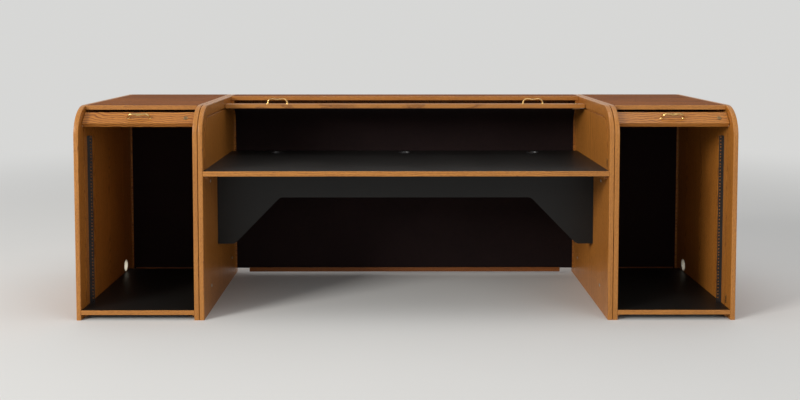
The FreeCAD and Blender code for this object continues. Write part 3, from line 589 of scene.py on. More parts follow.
class Finishes:
    """Every finish on the desk, made once and handed out by name."""

    def __init__(self) -> None:
        """Build all the materials."""
        side, back, top, front = Grain
        # A darker, redder oak palette. On the tops it is painted shade: up-facing boards are darker
        # than the lit front edges. The tail batten takes it as its own tone.
        russet_and_top_shade = {"light": (0.290, 0.090, 0.014), "dark": (0.120, 0.030, 0.004),
                  "pore": (0.050, 0.012, 0.002)}
        pale = {"light": (0.545, 0.225, 0.044), "dark": (0.270, 0.090, 0.012),
                "pore": (0.095, 0.027, 0.004)}
        curly = {"light": (0.540, 0.212, 0.036), "heart": 0.014, "wander": 0.085, "wave": 0.014,
                 "curl": 0.75, "leaf": 0.5, "ring_pitch": 0.0078, "contrast": 0.68}
        matt = {"roughness": 0.62, "gloss": 0.07, "coat": 0.0}
        fine = {"ring_pitch": 0.005, "speckle": 0.45}
        self.outer_side = Oak("oak_outer_side", side, shift=0.7, heart=0.05).make()
        self.inner_side = Oak("oak_inner_side", side, shift=2.9, straight=0.60).make()
        self.back = Oak("oak_back", back, shift=5.3, heart=0.06, leaf=0.30).make()
        # The tops take the darker palette as painted shade.
        self.top = Oak("oak_top", top, shift=1.9, heart=0.05, leaf=0.26, streak=1.5,
                       **matt, **russet_and_top_shade).make()
        self.rail = Oak("oak_tilted_rail", front, shift=3.3, **curly).make()
        self.level_rail = Oak("oak_level_rail", top, shift=6.1, straight=0.9, **fine, **pale).make()
        self.edge = Oak("oak_front_edge", front, shift=4.1, straight=0.8, **fine, **pale).make()
        self.band = Oak("oak_band", front, straight=0.85, ring_pitch=0.0045, speckle=0.50,
                        on_strips=True, **pale).make()
        self.slat = Oak("oak_slat", front, straight=0.35, leaf=0.4, streak=0.95, on_strips=True).make()
        self.cleat = Oak("oak_cleat", top, shift=7.7, straight=0.7, coat=0.05, ring_pitch=0.005).make()
        self.batten = Oak("oak_batten", front, shift=8.2, straight=0.5, **russet_and_top_shade).make()
        self.laminate = Laminate().make()
        self.canvas = Canvas().make()
        self.brass = Metal("brass", (0.62, 0.39, 0.14), (0.24, 0.12, 0.04), 0.17, coat=0.2).make()
        self.lock = Metal("aged_brass", (0.36, 0.22, 0.10), (0.15, 0.08, 0.035), 0.25).make()
        self.zinc = Metal("zinc_steel", (0.60, 0.60, 0.57), (0.42, 0.42, 0.38), 0.32,
                          grain=900.0).make()
        self.rack_steel = Moulded("rack_steel", (0.012, 0.012, 0.013), (0.018, 0.018, 0.019), 0.42,
                                  relief=0.00005).make()
        self.plastic = Moulded("black_plastic", (0.014, 0.014, 0.015), (0.020, 0.020, 0.021),
                               0.38).make()
        self.nylon = Moulded("nylon", (0.74, 0.70, 0.58), (0.66, 0.61, 0.48), 0.42).make()


# ------------------------------------------------------------------ mesh helpers
def in_scene(name: str, data: bpy.types.ID) -> Object:
    """Put a mesh, a lamp or a camera in the scene.

    Args:
        name: the new object's name.
        data: what it shows.

    Returns:
        The object, at the origin.
    """
    piece = bpy.data.objects.new(name, data)
    bpy.context.scene.collection.objects.link(piece)
    return piece


def finish_with(mesh: bpy.types.Mesh, material: Material) -> None:
    """Give a mesh one finish, in place of any that it has."""
    mesh.materials.clear()
    mesh.materials.append(material)


def shade_round(mesh: bpy.types.Mesh, angle: float = SMOOTH) -> None:
    """Shade a mesh round, apart from some of its edges.

    Args:
        mesh: the mesh.
        angle: edges that turn more than this stay sharp.
    """
    for polygon in mesh.polygons:
        polygon.use_smooth = True
    mesh.set_sharp_from_angle(angle=angle)


def new_piece(name: str, shape: Shape, material: Material) -> Object:
    """Turn a finished bmesh into a piece in the scene.

    Args:
        name: the piece's name.
        shape: its geometry; it is freed.
        material: its finish.

    Returns:
        The new object, at the origin.
    """
    mesh = bpy.data.meshes.new(name)
    shape.to_mesh(mesh)
    shape.free()
    finish_with(mesh, material)
    shade_round(mesh)
    return in_scene(name, mesh)


def hand_over(piece: Object, body: str | None, slot: Slot, nodes: Sequence[str] = ()) -> None:
    """Attach a finished piece to what it rides on, and hide the CAD nodes that it stands for.

    Args:
        piece: the finished piece.
        body: the CAD body that it rides on, or None to leave it on no body.
        slot: the record's material slot; not used.
        nodes: the CAD nodes that it replaces.
    """
    if body is not None:
        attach(piece, body)
    if nodes:
        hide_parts(*nodes)
    LOG.info("%s: %d faces on %s", piece.name, len(piece.data.polygons), body or "two bodies")


def span(node: str, axis: Vector) -> tuple[float, float]:
    """Lowest and highest place of a CAD node along a unit axis, in metres."""
    places = [axis.dot(vertex.co) for vertex in frame["nodes"][node].data.vertices]
    return min(places), max(places)


def welded(node: str) -> Shape:
    """A copy of a CAD node with its loose triangles joined at their corners.

    Args:
        node: the CAD node.

    Returns:
        The copy.
    """
    shape = bmesh.new()
    shape.from_mesh(frame["nodes"][node].data)
    bmesh.ops.remove_doubles(shape, verts=shape.verts, dist=WELD)
    return shape


def islands(node: str) -> list[Box]:
    """Box of each separate solid in a CAD node, sorted by place.

    Args:
        node: the CAD node.

    Returns:
        The lowest and highest corner of each solid.
    """
    shape = welded(node)
    left, boxes = set(shape.verts), []
    while left:
        island, fresh = set(), {left.pop()}
        while fresh:
            island |= fresh
            fresh = {edge.other_vert(vert) for vert in fresh for edge in vert.link_edges} - island
        left -= island
        columns = list(zip(*(vert.co for vert in island)))
        boxes.append((Vector(map(min, columns)), Vector(map(max, columns))))
    shape.free()
    return sorted(boxes, key=lambda box: tuple(box[0]))


def keep(node: str, material: Material) -> None:
    """Give a CAD node that stays as it is its finish."""
    finish_with(frame["nodes"][node].data, material)
    LOG.info("%s: kept from the frame", node)


def merged_copy(node: str) -> Shape:
    """A copy of a CAD node whose flat faces are whole again, without its face normals.

    Args:
        node: the CAD node.

    Returns:
        The copy.
    """
    shape = welded(node)
    bmesh.ops.dissolve_limit(shape, angle_limit=FLAT, verts=shape.verts, edges=shape.edges,
                             use_dissolve_boundaries=False)
    layers = shape.loops.layers.float_vector
    for layer in list(layers):
        layers.remove(layer)
    return shape


def eased(node: str, width: float, material: Material, slot: Slot, steps: int = 2) -> None:
    """Replace a CAD node with a copy whose sharp edges are rounded a little, as by sanding.

    Args:
        node: the CAD node.
        width: how far the rounding reaches from an edge.
        material: the finish.
        slot: the record's material slot.
        steps: faces across each rounding.
    """
    shape = merged_copy(node)
    sharp = [edge for edge in shape.edges
             if len(edge.link_faces) == 2 and edge.calc_face_angle(0.0) > SHARP]
    bmesh.ops.bevel(shape, geom=sharp, offset=width, segments=steps, profile=0.5,
                    affect="EDGES", clamp_overlap=True)
    piece = new_piece(f"{node}_eased", shape, material)
    hand_over(piece, frame["nodes"][node]["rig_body"], slot, [node])


def ring(radii: tuple[float, float], count: int, middle: tuple[float, float] = (0.0, 0.0)) -> Outline:
    """Points round an ellipse.

    Args:
        radii: its reach along X and Y.
        count: how many points.
        middle: its middle.

    Returns:
        The points, anticlockwise.
    """
    turns = [math.tau * k / count for k in range(count)]
    return [(middle[0] + radii[0] * math.cos(turn), middle[1] + radii[1] * math.sin(turn))
            for turn in turns]


def steps_between(start: float, end: float, step: float) -> list[float]:
    """Lengths from start to end, a step apart or a little less."""
    count = max(1, math.ceil((end - start) / step))
    return [start + (end - start) * k / count for k in range(count + 1)]


def skin(shape: Shape, rows: Sequence[Sequence[bmesh.types.BMVert]]) -> None:
    """Span faces from each row of vertices to the next, all the way round.

    Args:
        shape: the geometry, changed in place.
        rows: the rows; a row of one vertex is a tip.
    """
    for low, high in zip(rows, rows[1:]):
        for k in range(max(len(low), len(high))):
            spots = ((low, k), (low, k + 1), (high, k + 1), (high, k))
            corners = [row[spot % len(row)] for row, spot in spots]
            shape.faces.new(list(dict.fromkeys(corners)))


def turned(profile: Outline, count: int, closed: bool = False) -> Shape:
    """Turn a profile of radii and heights about the Z axis.

    Args:
        profile: (radius, height) pairs; a radius of 0 closes the shape on the axis.
        count: faces round the axis.
        closed: join the last pair to the first, as for a ring.

    Returns:
        The turned shape.
    """
    shape = bmesh.new()
    rows = []
    for radius, height in profile:
        points = ring((radius, radius), count if radius else 1)
        rows.append([shape.verts.new((x, y, height)) for x, y in points])
    skin(shape, rows + rows[:1] if closed else rows)
    bmesh.ops.recalc_face_normals(shape, faces=shape.faces)
    return shape


def swept(stations: Sequence[tuple[Matrix, Outline]]) -> Shape:
    """Skin a row of sections and close both ends.

    Args:
        stations: each section's place, and its points in its own XY plane.

    Returns:
        The skinned shape.
    """
    shape = bmesh.new()
    rows = [[shape.verts.new(place @ Vector((x, y, 0))) for x, y in section]
            for place, section in stations]
    skin(shape, rows)
    shape.faces.new(rows[0][::-1])
    shape.faces.new(rows[-1])
    bmesh.ops.recalc_face_normals(shape, faces=shape.faces)
    return shape


def axes_at(origin: Vector, x: Vector, y: Vector, z: Vector) -> Matrix:
    """The matrix that lays a shape's own axes along three others, at an origin."""
    return Matrix.Translation(origin) @ Matrix((x, y, z)).transposed().to_4x4()


def map_strip(shape: Shape, lengths: Sequence[float], across: Sequence[float],
              across_first: bool = False) -> None:
    """Give a swept strip a map in metres: U along it and V round its section.

    Args:
        shape: the strip, with its rows of vertices in order.
        lengths: distance of each row along the strip.
        across: distance of each point of a row across it.
        across_first: let U run across the strip and V along it.
    """
    layer = shape.loops.layers.uv.new(STRIP_MAP)
    shape.verts.index_update()
    for face in shape.faces:
        for loop in face.loops:
            row, spot = divmod(loop.vert.index, len(across))
            place = (lengths[row], across[spot])
            loop[layer].uv = place[::-1] if across_first else place


def rounded_bar(width: float, depth: float, corner: float, steps: int = 3) -> Outline:
    """Outline of a bar whose +Y corners are rounded and whose -Y corners are square.

    Args:
        width: along X.
        depth: along Y, from 0 up.
        corner: radius of the rounded corners.
        steps: faces across each rounding.

    Returns:
        The outline, anticlockwise.
    """
    half = width / 2
    outline = [(-half, 0.0), (half, 0.0)]
    for x, first in ((half - corner, 0.0), (-half + corner, 90.0)):
        for k in range(steps + 1):
            angle = math.radians(first + 90.0 * k / steps)
            outline.append((x + corner * math.cos(angle), depth - corner + corner * math.sin(angle)))
    return outline


# ------------------------------------------------------------------ geometry node trees
class RepeatTree(Tree):
    """A geometry tree: a piece repeated on the points of a mesh, or along a path."""

    def __init__(self, name: str, inputs: Sequence[tuple[str, str]]) -> None:
        """Make the tree and its named inputs.

        Args:
            name: the tree's name.
            inputs: name and kind of each input after the geometry.
        """
        group = bpy.data.node_groups.new(name, "GeometryNodeTree")
        super().__init__(group)
        face = group.interface
        face.new_socket("Geometry", in_out="INPUT", socket_type="NodeSocketGeometry")
        for label, kind in inputs:
            face.new_socket(label, in_out="INPUT", socket_type=f"NodeSocket{kind}")
        face.new_socket("Geometry", in_out="OUTPUT", socket_type="NodeSocketGeometry")
        self.given = self.add("NodeGroupInput").outputs
        self.result = self.add("NodeGroupOutput").inputs[0]

    def geometry(self, kind: str, inputs: dict[int | str, object], **options: object) -> Socket:
        """Add the geometry node of a kind, and take its first output."""
        return self.add(f"GeometryNode{kind}", inputs, **options).outputs[0]

    def piece(self, label: str) -> Socket:
        """The shape of the object that an input names."""
        return self.add("GeometryNodeObjectInfo", {"Object": self.given[label]}).outputs["Geometry"]

    def close(self, instances: Socket) -> None:
        """Realise the instances, give them their finish and end the tree.

        Args:
            instances: the placed pieces.
        """
        real = self.geometry("RealizeInstances", {0: instances})
        inputs = {"Geometry": real, "Material": self.given["Finish"]}
        self.feed(self.result, self.geometry("SetMaterial", inputs))


class Repeater:
    """Builds the two repeat trees once, and bakes them into plain pieces."""

    def __init__(self) -> None:
        """Build both trees."""
        self.on_points = self.build_on_points()
        self.along_path = self.build_along_path()

    @staticmethod
    def build_on_points() -> bpy.types.NodeTree:
        """A tree that puts a piece on every point, turned by the point's own aim and a chance spin.

        Returns:
            The tree.
        """
        tree = RepeatTree("repeat_on_points", [("Piece", "Object"), ("Finish", "Material")])
        piece = tree.piece("Piece")
        aim = tree.geometry("InputNamedAttribute", {"Name": "aim"}, data_type="FLOAT_VECTOR")
        turn = tree.add("FunctionNodeAlignRotationToVector", {"Vector": aim}, axis="Z").outputs[0]
        chance = {2: 0.0, 3: math.tau, "Seed": SPIN_SEED}
        spin = tree.add("FunctionNodeRandomValue", chance, data_type="FLOAT").outputs[1]
        about = {"Axis": (0, 0, 1), "Angle": spin}
        spun = tree.add("FunctionNodeAxisAngleToRotation", about).outputs[0]
        turn = tree.add("FunctionNodeRotateRotation", {"Rotation": turn, "Rotate By": spun},
                        rotation_space="LOCAL").outputs[0]
        points = tree.geometry("MeshToPoints", {"Mesh": tree.given["Geometry"]})
        tree.close(tree.geometry("InstanceOnPoints",
                                 {"Points": points, "Instance": piece, "Rotation": turn}))
        return tree.tree

    @staticmethod
    def build_along_path() -> bpy.types.NodeTree:
        """A tree that lays slats along a path in the YZ plane, each with its own tone.

        Returns:
            The tree.
        """
        inputs = [("Slat", "Object"), ("Count", "Int"), ("Pitch", "Float"), ("First", "Float"),
                  ("Finish", "Material")]
        tree = RepeatTree("slats_along_path", inputs)
        slat = tree.piece("Slat")
        path = tree.geometry("MeshToCurve", {0: tree.given["Geometry"]})
        row = tree.geometry("MeshLine", {"Count": tree.given["Count"]})
        index = tree.geometry("InputIndex", {})
        reach = tree.math("MULTIPLY", index, tree.given["Pitch"])
        reach = tree.math("ADD", reach, tree.given["First"])
        sample = tree.add("GeometryNodeSampleCurve", {"Curves": path}, mode="LENGTH",
                          use_all_curves=True)
        tree.feed(sample.inputs["Length"], reach)
        heading = tree.add("ShaderNodeSeparateXYZ", {0: sample.outputs["Tangent"]}).outputs
        lean = tree.combine(tree.math("ARCTAN2", heading[2], heading[1]), 0.0, 0.0)
        row = tree.geometry("SetPosition", {"Geometry": row, "Position": sample.outputs["Position"]})
        placed = tree.geometry("InstanceOnPoints", {"Points": row, "Instance": slat, "Rotation": lean})
        tone = tree.add("FunctionNodeRandomValue", {"Seed": TONE_SEED}, data_type="FLOAT").outputs[1]
        stored = {"Geometry": placed, "Name": STRIP_TONE, "Value": tone}
        tree.close(tree.geometry("StoreNamedAttribute", stored, data_type="FLOAT", domain="INSTANCE"))
        return tree.tree

    @staticmethod
    def host(name: str, points: Sequence[Vector], edges: Sequence[tuple[int, int]] = ()) -> Object:
        """A mesh of loose points, or of a path, for a tree to work on.

        Args:
            name: its name.
            points: the points.
            edges: pairs of points that are joined.

        Returns:
            The object.
        """
        mesh = bpy.data.meshes.new(name)
        mesh.from_pydata(points, edges, [])
        return in_scene(name, mesh)

    @staticmethod
    def bake(name: str, host: Object, group: bpy.types.NodeTree, values: dict[str, object]) -> Object:
        """Run a tree on a host mesh and keep its result as a plain mesh.

        Args:
            name: the new piece's name.
            host: the mesh that carries the points or the path; it is removed.
            group: the tree.
            values: its inputs by name; an object among them is removed.

        Returns:
            The baked piece.
        """
        modifier = host.modifiers.new("repeat", "NODES")
        modifier.node_group = group
        for item in group.interface.items_tree:
            if item.in_out == "INPUT" and item.name in values:
                modifier[item.identifier] = values[item.name]
        bpy.context.view_layer.update()
        graph = bpy.context.evaluated_depsgraph_get()
        mesh = bpy.data.meshes.new_from_object(host.evaluated_get(graph))
        host.modifiers.remove(modifier)
        for spent in (host, *values.values()):
            if isinstance(spent, Object):
                bpy.data.objects.remove(spent)
        mesh.name = name
        shade_round(mesh, SMOOTH_BAKED)
        return in_scene(name, mesh)

    def repeat(self, name: str, shape: Shape, places: Sequence[Place], finish: Material) -> Object:
        """Repeat a shape at places, with its +Z axis along each place's aim.

        Args:
            name: the new piece's name.
            shape: the geometry that repeats.
            places: point and aim of each.
            finish: the material.

        Returns:
            The baked piece.
        """
        pattern = new_piece(f"{name}_pattern", shape, finish)
        host = self.host(f"{name}_points", [point for point, _ in places])
        aims = host.data.attributes.new("aim", "FLOAT_VECTOR", "POINT")
        aims.data.foreach_set("vector", [part for _, aim in places for part in aim])
        return self.bake(name, host, self.on_points, {"Piece": pattern, "Finish": finish})


@dataclass
class Maker:
    """What every maker of fittings works with."""

    finishes: Finishes
    repeater: Repeater

    def put(self, name: str, shape: Shape, places: Sequence[Place], finish: Material, slot: Slot,
            nodes: Sequence[str] = (), body: str = "root") -> None:
        """Repeat a shape at places, each a point and an aim, and hand the piece over."""
        hand_over(self.repeater.repeat(name, shape, places, finish), body, slot, nodes)


# ------------------------------------------------------------------ carcass
@dataclass(frozen=True)
class DeskSizes:
    """Places that several pieces share, read from the frame."""

    front: float
    back: float
    height: float
    panel: float                    # thickness of a side panel
    corner: float = 0.130           # radius of its rounded corner

    @classmethod
    def read(cls) -> "DeskSizes":
        """Read the sizes from the CAD boxes.

        Returns:
            The sizes.
        """
        low, high = cad_box
        side_low, side_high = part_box("centre_left_side")
        return cls(front=low.y, back=high.y, height=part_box("left_edge_bands")[1].z,
                   panel=side_high.x - side_low.x)

    @property
    def spring(self) -> float:
        """Height where the front edge starts to curve back."""
        return self.height - self.corner


@dataclass
class Carcass:
    """Panels, tops, bases, backs, worktop and modesty panel."""

    sizes: DeskSizes
    finishes: Finishes
    side_easing: float = 0.00032
    board_easing: float = 0.0004
    laminate_easing: float = 0.00048
    cleat_easing: float = 0.0008
    edge_easing: float = 0.00128
    band_radius: float = 0.0032
    band_thickness: float = 0.004
    band_tone: float = 0.11         # how far two bands of a unit differ
    arc_steps: int = 28
    run_steps: int = 8
    unit_gap: float = 0.002         # between the side panels of two units

    def band_path(self) -> list[tuple[float, float, float, float]]:
        """The bands' path: up the front, round the corner and back along the top.

        Returns:
            Y, Z, turn and length of each station; a turn of 0 faces the front, and a quarter up.
        """
        sizes, stops = self.sizes, []
        inner = sizes.corner - self.band_thickness
        middle, rise = sizes.front + sizes.corner, sizes.spring
        for k in range(self.run_steps + 1):
            height = rise * k / self.run_steps
            stops.append((sizes.front + self.band_thickness, height, 0.0, height))
        for k in range(1, self.arc_steps + 1):
            turn = QUARTER * k / self.arc_steps
            stops.append((middle - inner * math.cos(turn), rise + inner * math.sin(turn), turn,
                          rise + turn * sizes.corner))
        for k in range(1, self.run_steps + 1):
            run = (sizes.back - middle) * k / self.run_steps
            stops.append((middle + run, rise + inner, QUARTER, rise + QUARTER * sizes.corner + run))
        return stops

    def band(self, x_low: float) -> Shape:
        """One solid band along the front, round the corner and along the top of a side panel.

        Args:
            x_low: the panel's lower X.

        Returns:
            The band, with a strip map that runs along it.
        """
        middle = x_low + self.sizes.panel / 2
        section = rounded_bar(self.sizes.panel, self.band_thickness, self.band_radius)
        stations, lengths = [], []
        for y, z, turn, length in self.band_path():
            out = Vector((0, -math.cos(turn), math.sin(turn)))
            along = Vector((0, math.sin(turn), math.cos(turn)))
            stations.append((axes_at(Vector((middle, y, z)), X_AXIS, out, along), section))
            lengths.append(length)
        shape = swept(stations)
        map_strip(shape, lengths, [x + y for x, y in section])
        return shape

    def build_bands(self) -> None:
        """Bands of all six panels, one piece each."""
        panel = self.sizes.panel
        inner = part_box("centre_right_side")[0].x
        near = inner + panel + self.unit_gap
        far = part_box("right_outer_side")[0].x
        starts = {"centre": (-inner - panel, inner), "left": (-far - panel, -near - panel),
                  "right": (near, far)}
        tones = {"centre": 0.42, "left": 0.28, "right": 0.35}
        for word, places in starts.items():
            for number, x_low in enumerate(places, 1):
                piece = new_piece(f"{word}_edge_band_{number}", self.band(x_low), self.finishes.band)
                tone = piece.data.attributes.new(STRIP_TONE, "FLOAT", "POINT")
                value = tones[word] + self.band_tone * number
                tone.data.foreach_set("value", [value] * len(piece.data.vertices))
                hand_over(piece, "root", Slot.OAK_EDGE, [f"{word}_edge_bands"])

    def build(self) -> None:
        """Dress every board of the carcass."""
        finish = self.finishes
        for node in ("left_outer_side", "right_outer_side"):
            eased(node, self.side_easing, finish.outer_side, Slot.OAK, 1)
        for node in ("left_inner_side", "centre_left_side", "centre_right_side", "right_inner_side"):
            eased(node, self.side_easing, finish.inner_side, Slot.OAK, 1)
        self.build_bands()
        for word in BAYS:
            eased(f"{word}_top", self.board_easing, finish.top, Slot.OAK)
            eased(f"{word}_back", self.board_easing, finish.back, Slot.OAK)
        for node in ("top_front_edges", "base_front_edges", "worktop_front_edge"):
            eased(node, self.edge_easing, finish.edge, Slot.OAK_EDGE, 3)
        for node in ("left_base", "right_base", "worktop", "modesty_panel"):
            eased(node, self.laminate_easing, finish.laminate, Slot.LAMINATE)
        eased("cleats", self.cleat_easing, finish.cleat, Slot.OAK)
        eased("unit_connectors", self.side_easing, finish.zinc, Slot.ZINC)


# ------------------------------------------------------------------ screws, rack bays, cable ways
@dataclass(frozen=True)
class ScrewHead:
    """A pan-head screw with a cross recess: its seat is at Z = 0 and its head stands up."""

    head: float = 0.0040            # radius
    height: float = 0.0020
    shank: float = 0.0020           # radius
    length: float = 0.0120
    faces_round: int = 16
    tip: float = 0.4                # the tip's radius, as a share of the shank's
    taper: float = 0.8              # where the tip starts, as a share of the length
    dome: Outline = ((1.0, 0.35), (0.93, 0.70), (0.75, 1.0))    # shares of the head's two sizes
    arm: float = 0.52               # the recess's reach and width, as shares of the head's radius
    slot: float = 0.13
    floor: tuple[float, float] = (0.75, 0.4)    # its floor, as shares of its opening and the height

    def cross(self) -> list[Vector]:
        """Outline of the recess's opening, in the XY plane.

        Returns:
            Its twelve corners, anticlockwise.
        """
        reach, half = self.head * self.arm, self.head * self.slot
        arm = (Vector((reach, -half, 0)), Vector((reach, half, 0)), Vector((half, half, 0)))
        return [Matrix.Rotation(QUARTER * k, 3, "Z") @ corner for k in range(4) for corner in arm]

    def shape(self) -> Shape:
        """Model the screw.

        Returns:
            The screw.
        """
        profile = [(0, -self.length), (self.shank * self.tip, -self.length),
                   (self.shank, -self.length * self.taper), (self.shank, 0.0), (self.head, 0.0)]
        profile += [(self.head * radius, self.height * rise) for radius, rise in self.dome]
        screw = turned(profile, self.faces_round)
        rim = [edge for edge in screw.edges if edge.is_boundary]
        share, rise = self.floor
        corners, low = self.cross(), Z_AXIS * (self.height * rise)
        top = [screw.verts.new(corner + Z_AXIS * self.height) for corner in corners]
        floor = [screw.verts.new(corner * share + low) for corner in corners]
        pairs = [(k, (k + 1) % len(top)) for k in range(len(top))]
        opening = [screw.edges.new((top[k], top[after])) for k, after in pairs]
        bmesh.ops.triangle_fill(screw, edges=rim + opening, use_beauty=True)
        for k, after in pairs:
            screw.faces.new((top[k], top[after], floor[after], floor[k]))
        screw.faces.new(floor)
        bmesh.ops.recalc_face_normals(screw, faces=screw.faces)
        return screw


@dataclass
class RackBays(Maker):
    """Rack rails with their screws."""

    count: int = 5
    end: float = 0.050
    web_middle: float = 0.017       # from the flange's front face to the screws
    sheet: float = 0.002

    def build(self) -> None:
        """Dress the rails and put their screws in."""
        places = []
        for side in Side:
            node = f"{side.value}_rack_rails"
            keep(node, self.finishes.rack_steel)
            rails = islands(node)
            middle = sum(low.x + high.x for low, high in rails) / (2 * len(rails))
            for low, high in rails:
                inward = 1 if high.x < middle else -1
                x = (low.x if inward > 0 else high.x) + inward * self.sheet
                run = high.z - low.z - 2 * self.end
                for k in range(self.count):
                    z = low.z + self.end + run * k / (self.count - 1)
                    places.append((Vector((x, low.y + self.web_middle, z)), X_AXIS * inward))
        self.put("rack_rail_screws_turned", ScrewHead().shape(), places, self.finishes.zinc, Slot.ZINC,
                 ["rack_rail_screws"])


@dataclass
class CableWays(Maker):
    """Grommets in the worktop and liners in the outer sides."""

    bore: float = 0.026
    wall: float = 0.0035
    flange: float = 0.004
    lip: float = 0.002
    chamfer: float = 0.0004
    outer_curve: Outline = ((0.0, 0.35), (0.0006, 0.75), (0.0016, 1.0))     # in from the flange's edge
    inner_curve: Outline = ((0.0012, 1.0), (0.0003, 0.80), (0.0, 0.45))     # out from the bore
    faces_round: int = 48

    def grommet(self, depth: float) -> Shape:
        """A moulded ring with a rounded flange; its flange seats at Z = 0.

        Args:
            depth: how far it reaches down.

        Returns:
            The ring.
        """
        outer = self.bore + self.wall
        edge = outer + self.flange
        profile = [(self.bore, -depth), (outer - self.chamfer, -depth), (outer, -depth + self.chamfer),
                   (outer, 0.0), (edge, 0.0)]
        profile += [(edge - back, self.lip * share) for back, share in self.outer_curve]
        profile += [(self.bore + out, self.lip * share) for out, share in self.inner_curve]
        return turned(profile, self.faces_round, closed=True)

    def build(self) -> None:
        """Make the grommets and dress the liners."""
        low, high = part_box("worktop")
        places = []
        for ring_low, ring_high in islands("worktop_grommets"):
            middle = (ring_low + ring_high) / 2
            places.append((Vector((middle.x, middle.y, high.z)), Z_AXIS))
        self.put("cable_grommets", self.grommet(high.z - low.z), places, self.finishes.plastic,
                 Slot.PLASTIC, ["worktop_grommets"])
        eased("cable_hole_sleeves", self.chamfer, self.finishes.nylon, Slot.NYLON)


@dataclass
class BackScrews(Maker):
    """Screws round the edge of each back panel, into the cleats before it."""

    inset: float = 0.009
    corner: float = 0.040
    spacing: float = 0.220
    screw: ScrewHead = ScrewHead(head=0.0042, height=0.0016, shank=0.0020, length=0.0060)

    def places(self, low: Vector, high: Vector) -> list[Place]:
        """Seats and directions of the screws of one panel, on its sides and its top.

        Args:
            low: the panel's lowest corner.
            high: its highest corner.

        Returns:
            A point and the way its head looks, for each screw.
        """
        heights = steps_between(low.z + self.corner, high.z - self.corner, self.spacing)
        widths = steps_between(low.x + self.corner, high.x - self.corner, self.spacing)
        seats = [Vector((x, high.y, z)) for z in heights
                 for x in (low.x + self.inset, high.x - self.inset)]
        seats += [Vector((x, high.y, high.z - self.inset)) for x in widths]
        return [(seat, Y_AXIS) for seat in seats]

    def build(self) -> None:
        """Put the screws in."""
        places = [place for word in BAYS for place in self.places(*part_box(f"{word}_back"))]
        self.put("back_panel_screws", self.screw.shape(), places, self.finishes.zinc, Slot.ZINC)


@dataclass
class Strikes(Maker):
    """Strike plates with two screws each."""

    easing: float = 0.0002
    screw_rise: float = 0.0128      # from the plate's middle to a screw
    screw: ScrewHead = ScrewHead(head=0.0028, height=0.0009, shank=0.0015, length=0.0012)

    def build(self) -> None:
        """Dress the plates and put their screws in."""
        eased("strike_plates", self.easing, self.finishes.brass, Slot.BRASS)
        places = []
        for low, high in islands("strike_plates"):
            middle = (low + high) / 2
            places += [(Vector((low.x, middle.y, middle.z + rise)), -X_AXIS)
                       for rise in (-self.screw_rise, self.screw_rise)]
        self.put("strike_plate_screws", self.screw.shape(), places, self.finishes.brass, Slot.BRASS)


# ------------------------------------------------------------------ tambours
@dataclass(frozen=True)
class Track:
    """A tambour's path in the YZ plane, from its lower front end over the top to the rear foot."""

    front: float                    # Y of the front run
    foot: float                     # Z where the path starts
    spring: float                   # Z where the front curve starts
    front_radius: float
    rear: float                     # Y of the rear run
    rear_radius: float
    rear_foot: float                # Z where the path ends

    @property
    def height(self) -> float:
        """Z of the top run."""
        return self.spring + self.front_radius

    @property
    def front_arc(self) -> float:
        """Length to the start of the front curve."""
        return self.spring - self.foot

    @property
    def top_start(self) -> float:
        """Length to the start of the top run."""
        return self.front_arc + QUARTER * self.front_radius

    @property
    def top_end(self) -> float:
        """Length to the end of the top run."""
        return self.top_start + self.rear - self.rear_radius - self.front - self.front_radius

    @property
    def rear_start(self) -> float:
        """Length to the start of the rear run."""
        return self.top_end + QUARTER * self.rear_radius

    @property
    def rear_spring(self) -> float:
        """Z where the rear curve ends."""
        return self.height - self.rear_radius

    @property
    def length(self) -> float:
        """Length of the whole path."""
        return self.rear_start + self.rear_spring - self.rear_foot

    def at(self, reach: float) -> Place:
        """Follow the path.

        Args:
            reach: length from its start.

        Returns:
            The point there, and the way outwards.
        """
        middle = self.front + self.front_radius
        if reach < self.front_arc:
            return Vector((0, self.front, self.foot + reach)), -Y_AXIS
        if reach < self.top_start:
            turn = (reach - self.front_arc) / self.front_radius
            out = Vector((0, -math.cos(turn), math.sin(turn)))
            return Vector((0, middle, self.spring)) + out * self.front_radius, out
        if reach < self.top_end:
            return Vector((0, middle + reach - self.top_start, self.height)), Z_AXIS
        if reach < self.rear_start:
            turn = (reach - self.top_end) / self.rear_radius
            out = Vector((0, math.sin(turn), math.cos(turn)))
            centre = Vector((0, self.rear - self.rear_radius, self.rear_spring))
            return centre + out * self.rear_radius, out
        return Vector((0, self.rear, self.rear_spring - (reach - self.rear_start))), Y_AXIS


@dataclass(frozen=True)
class SlatSizes:
    """One slat and the canvas behind it."""

    pitch: float = 0.019
    gap: float = 0.001
    thickness: float = 0.007
    edge: float = 0.005
    ease: float = 0.0004
    canvas: float = 0.0008
    crown_steps: int = 8

    def outline(self) -> Outline:
        """The slat's section: first along the curtain, then outwards.

        Returns:
            The section's points, anticlockwise.
        """
        half, low = (self.pitch - self.gap) / 2, -self.thickness / 2
        shoulder, crown = low + self.edge, self.thickness / 2
        points = [(-half + self.ease, low), (half - self.ease, low), (half, low + self.ease)]
        for k in range(self.crown_steps + 1):
            share = 1 - 2 * k / self.crown_steps
            points.append((half * share, crown - (crown - shoulder) * share * share))
        return [*points, (-half, low + self.ease)]

    def shape(self, x_low: float, x_high: float) -> Shape:
        """A slat across a bay, its face to +Z and its height along Y, with a strip map.

        Args:
            x_low: its left end.
            x_high: its right end.

        Returns:
            The slat.
        """
        outline, lengths = self.outline(), (x_low, (x_low + x_high) / 2, x_high)
        shape = swept([(axes_at(X_AXIS * x, Y_AXIS, Z_AXIS, X_AXIS), outline) for x in lengths])
        map_strip(shape, lengths, [along + out for along, out in outline])
        return shape


def smooth(share: float) -> float:
    """The weight that a blended piece has at a share of its fold."""
    share = min(1.0, max(0.0, share))
    return share * share * (3.0 - 2.0 * share)


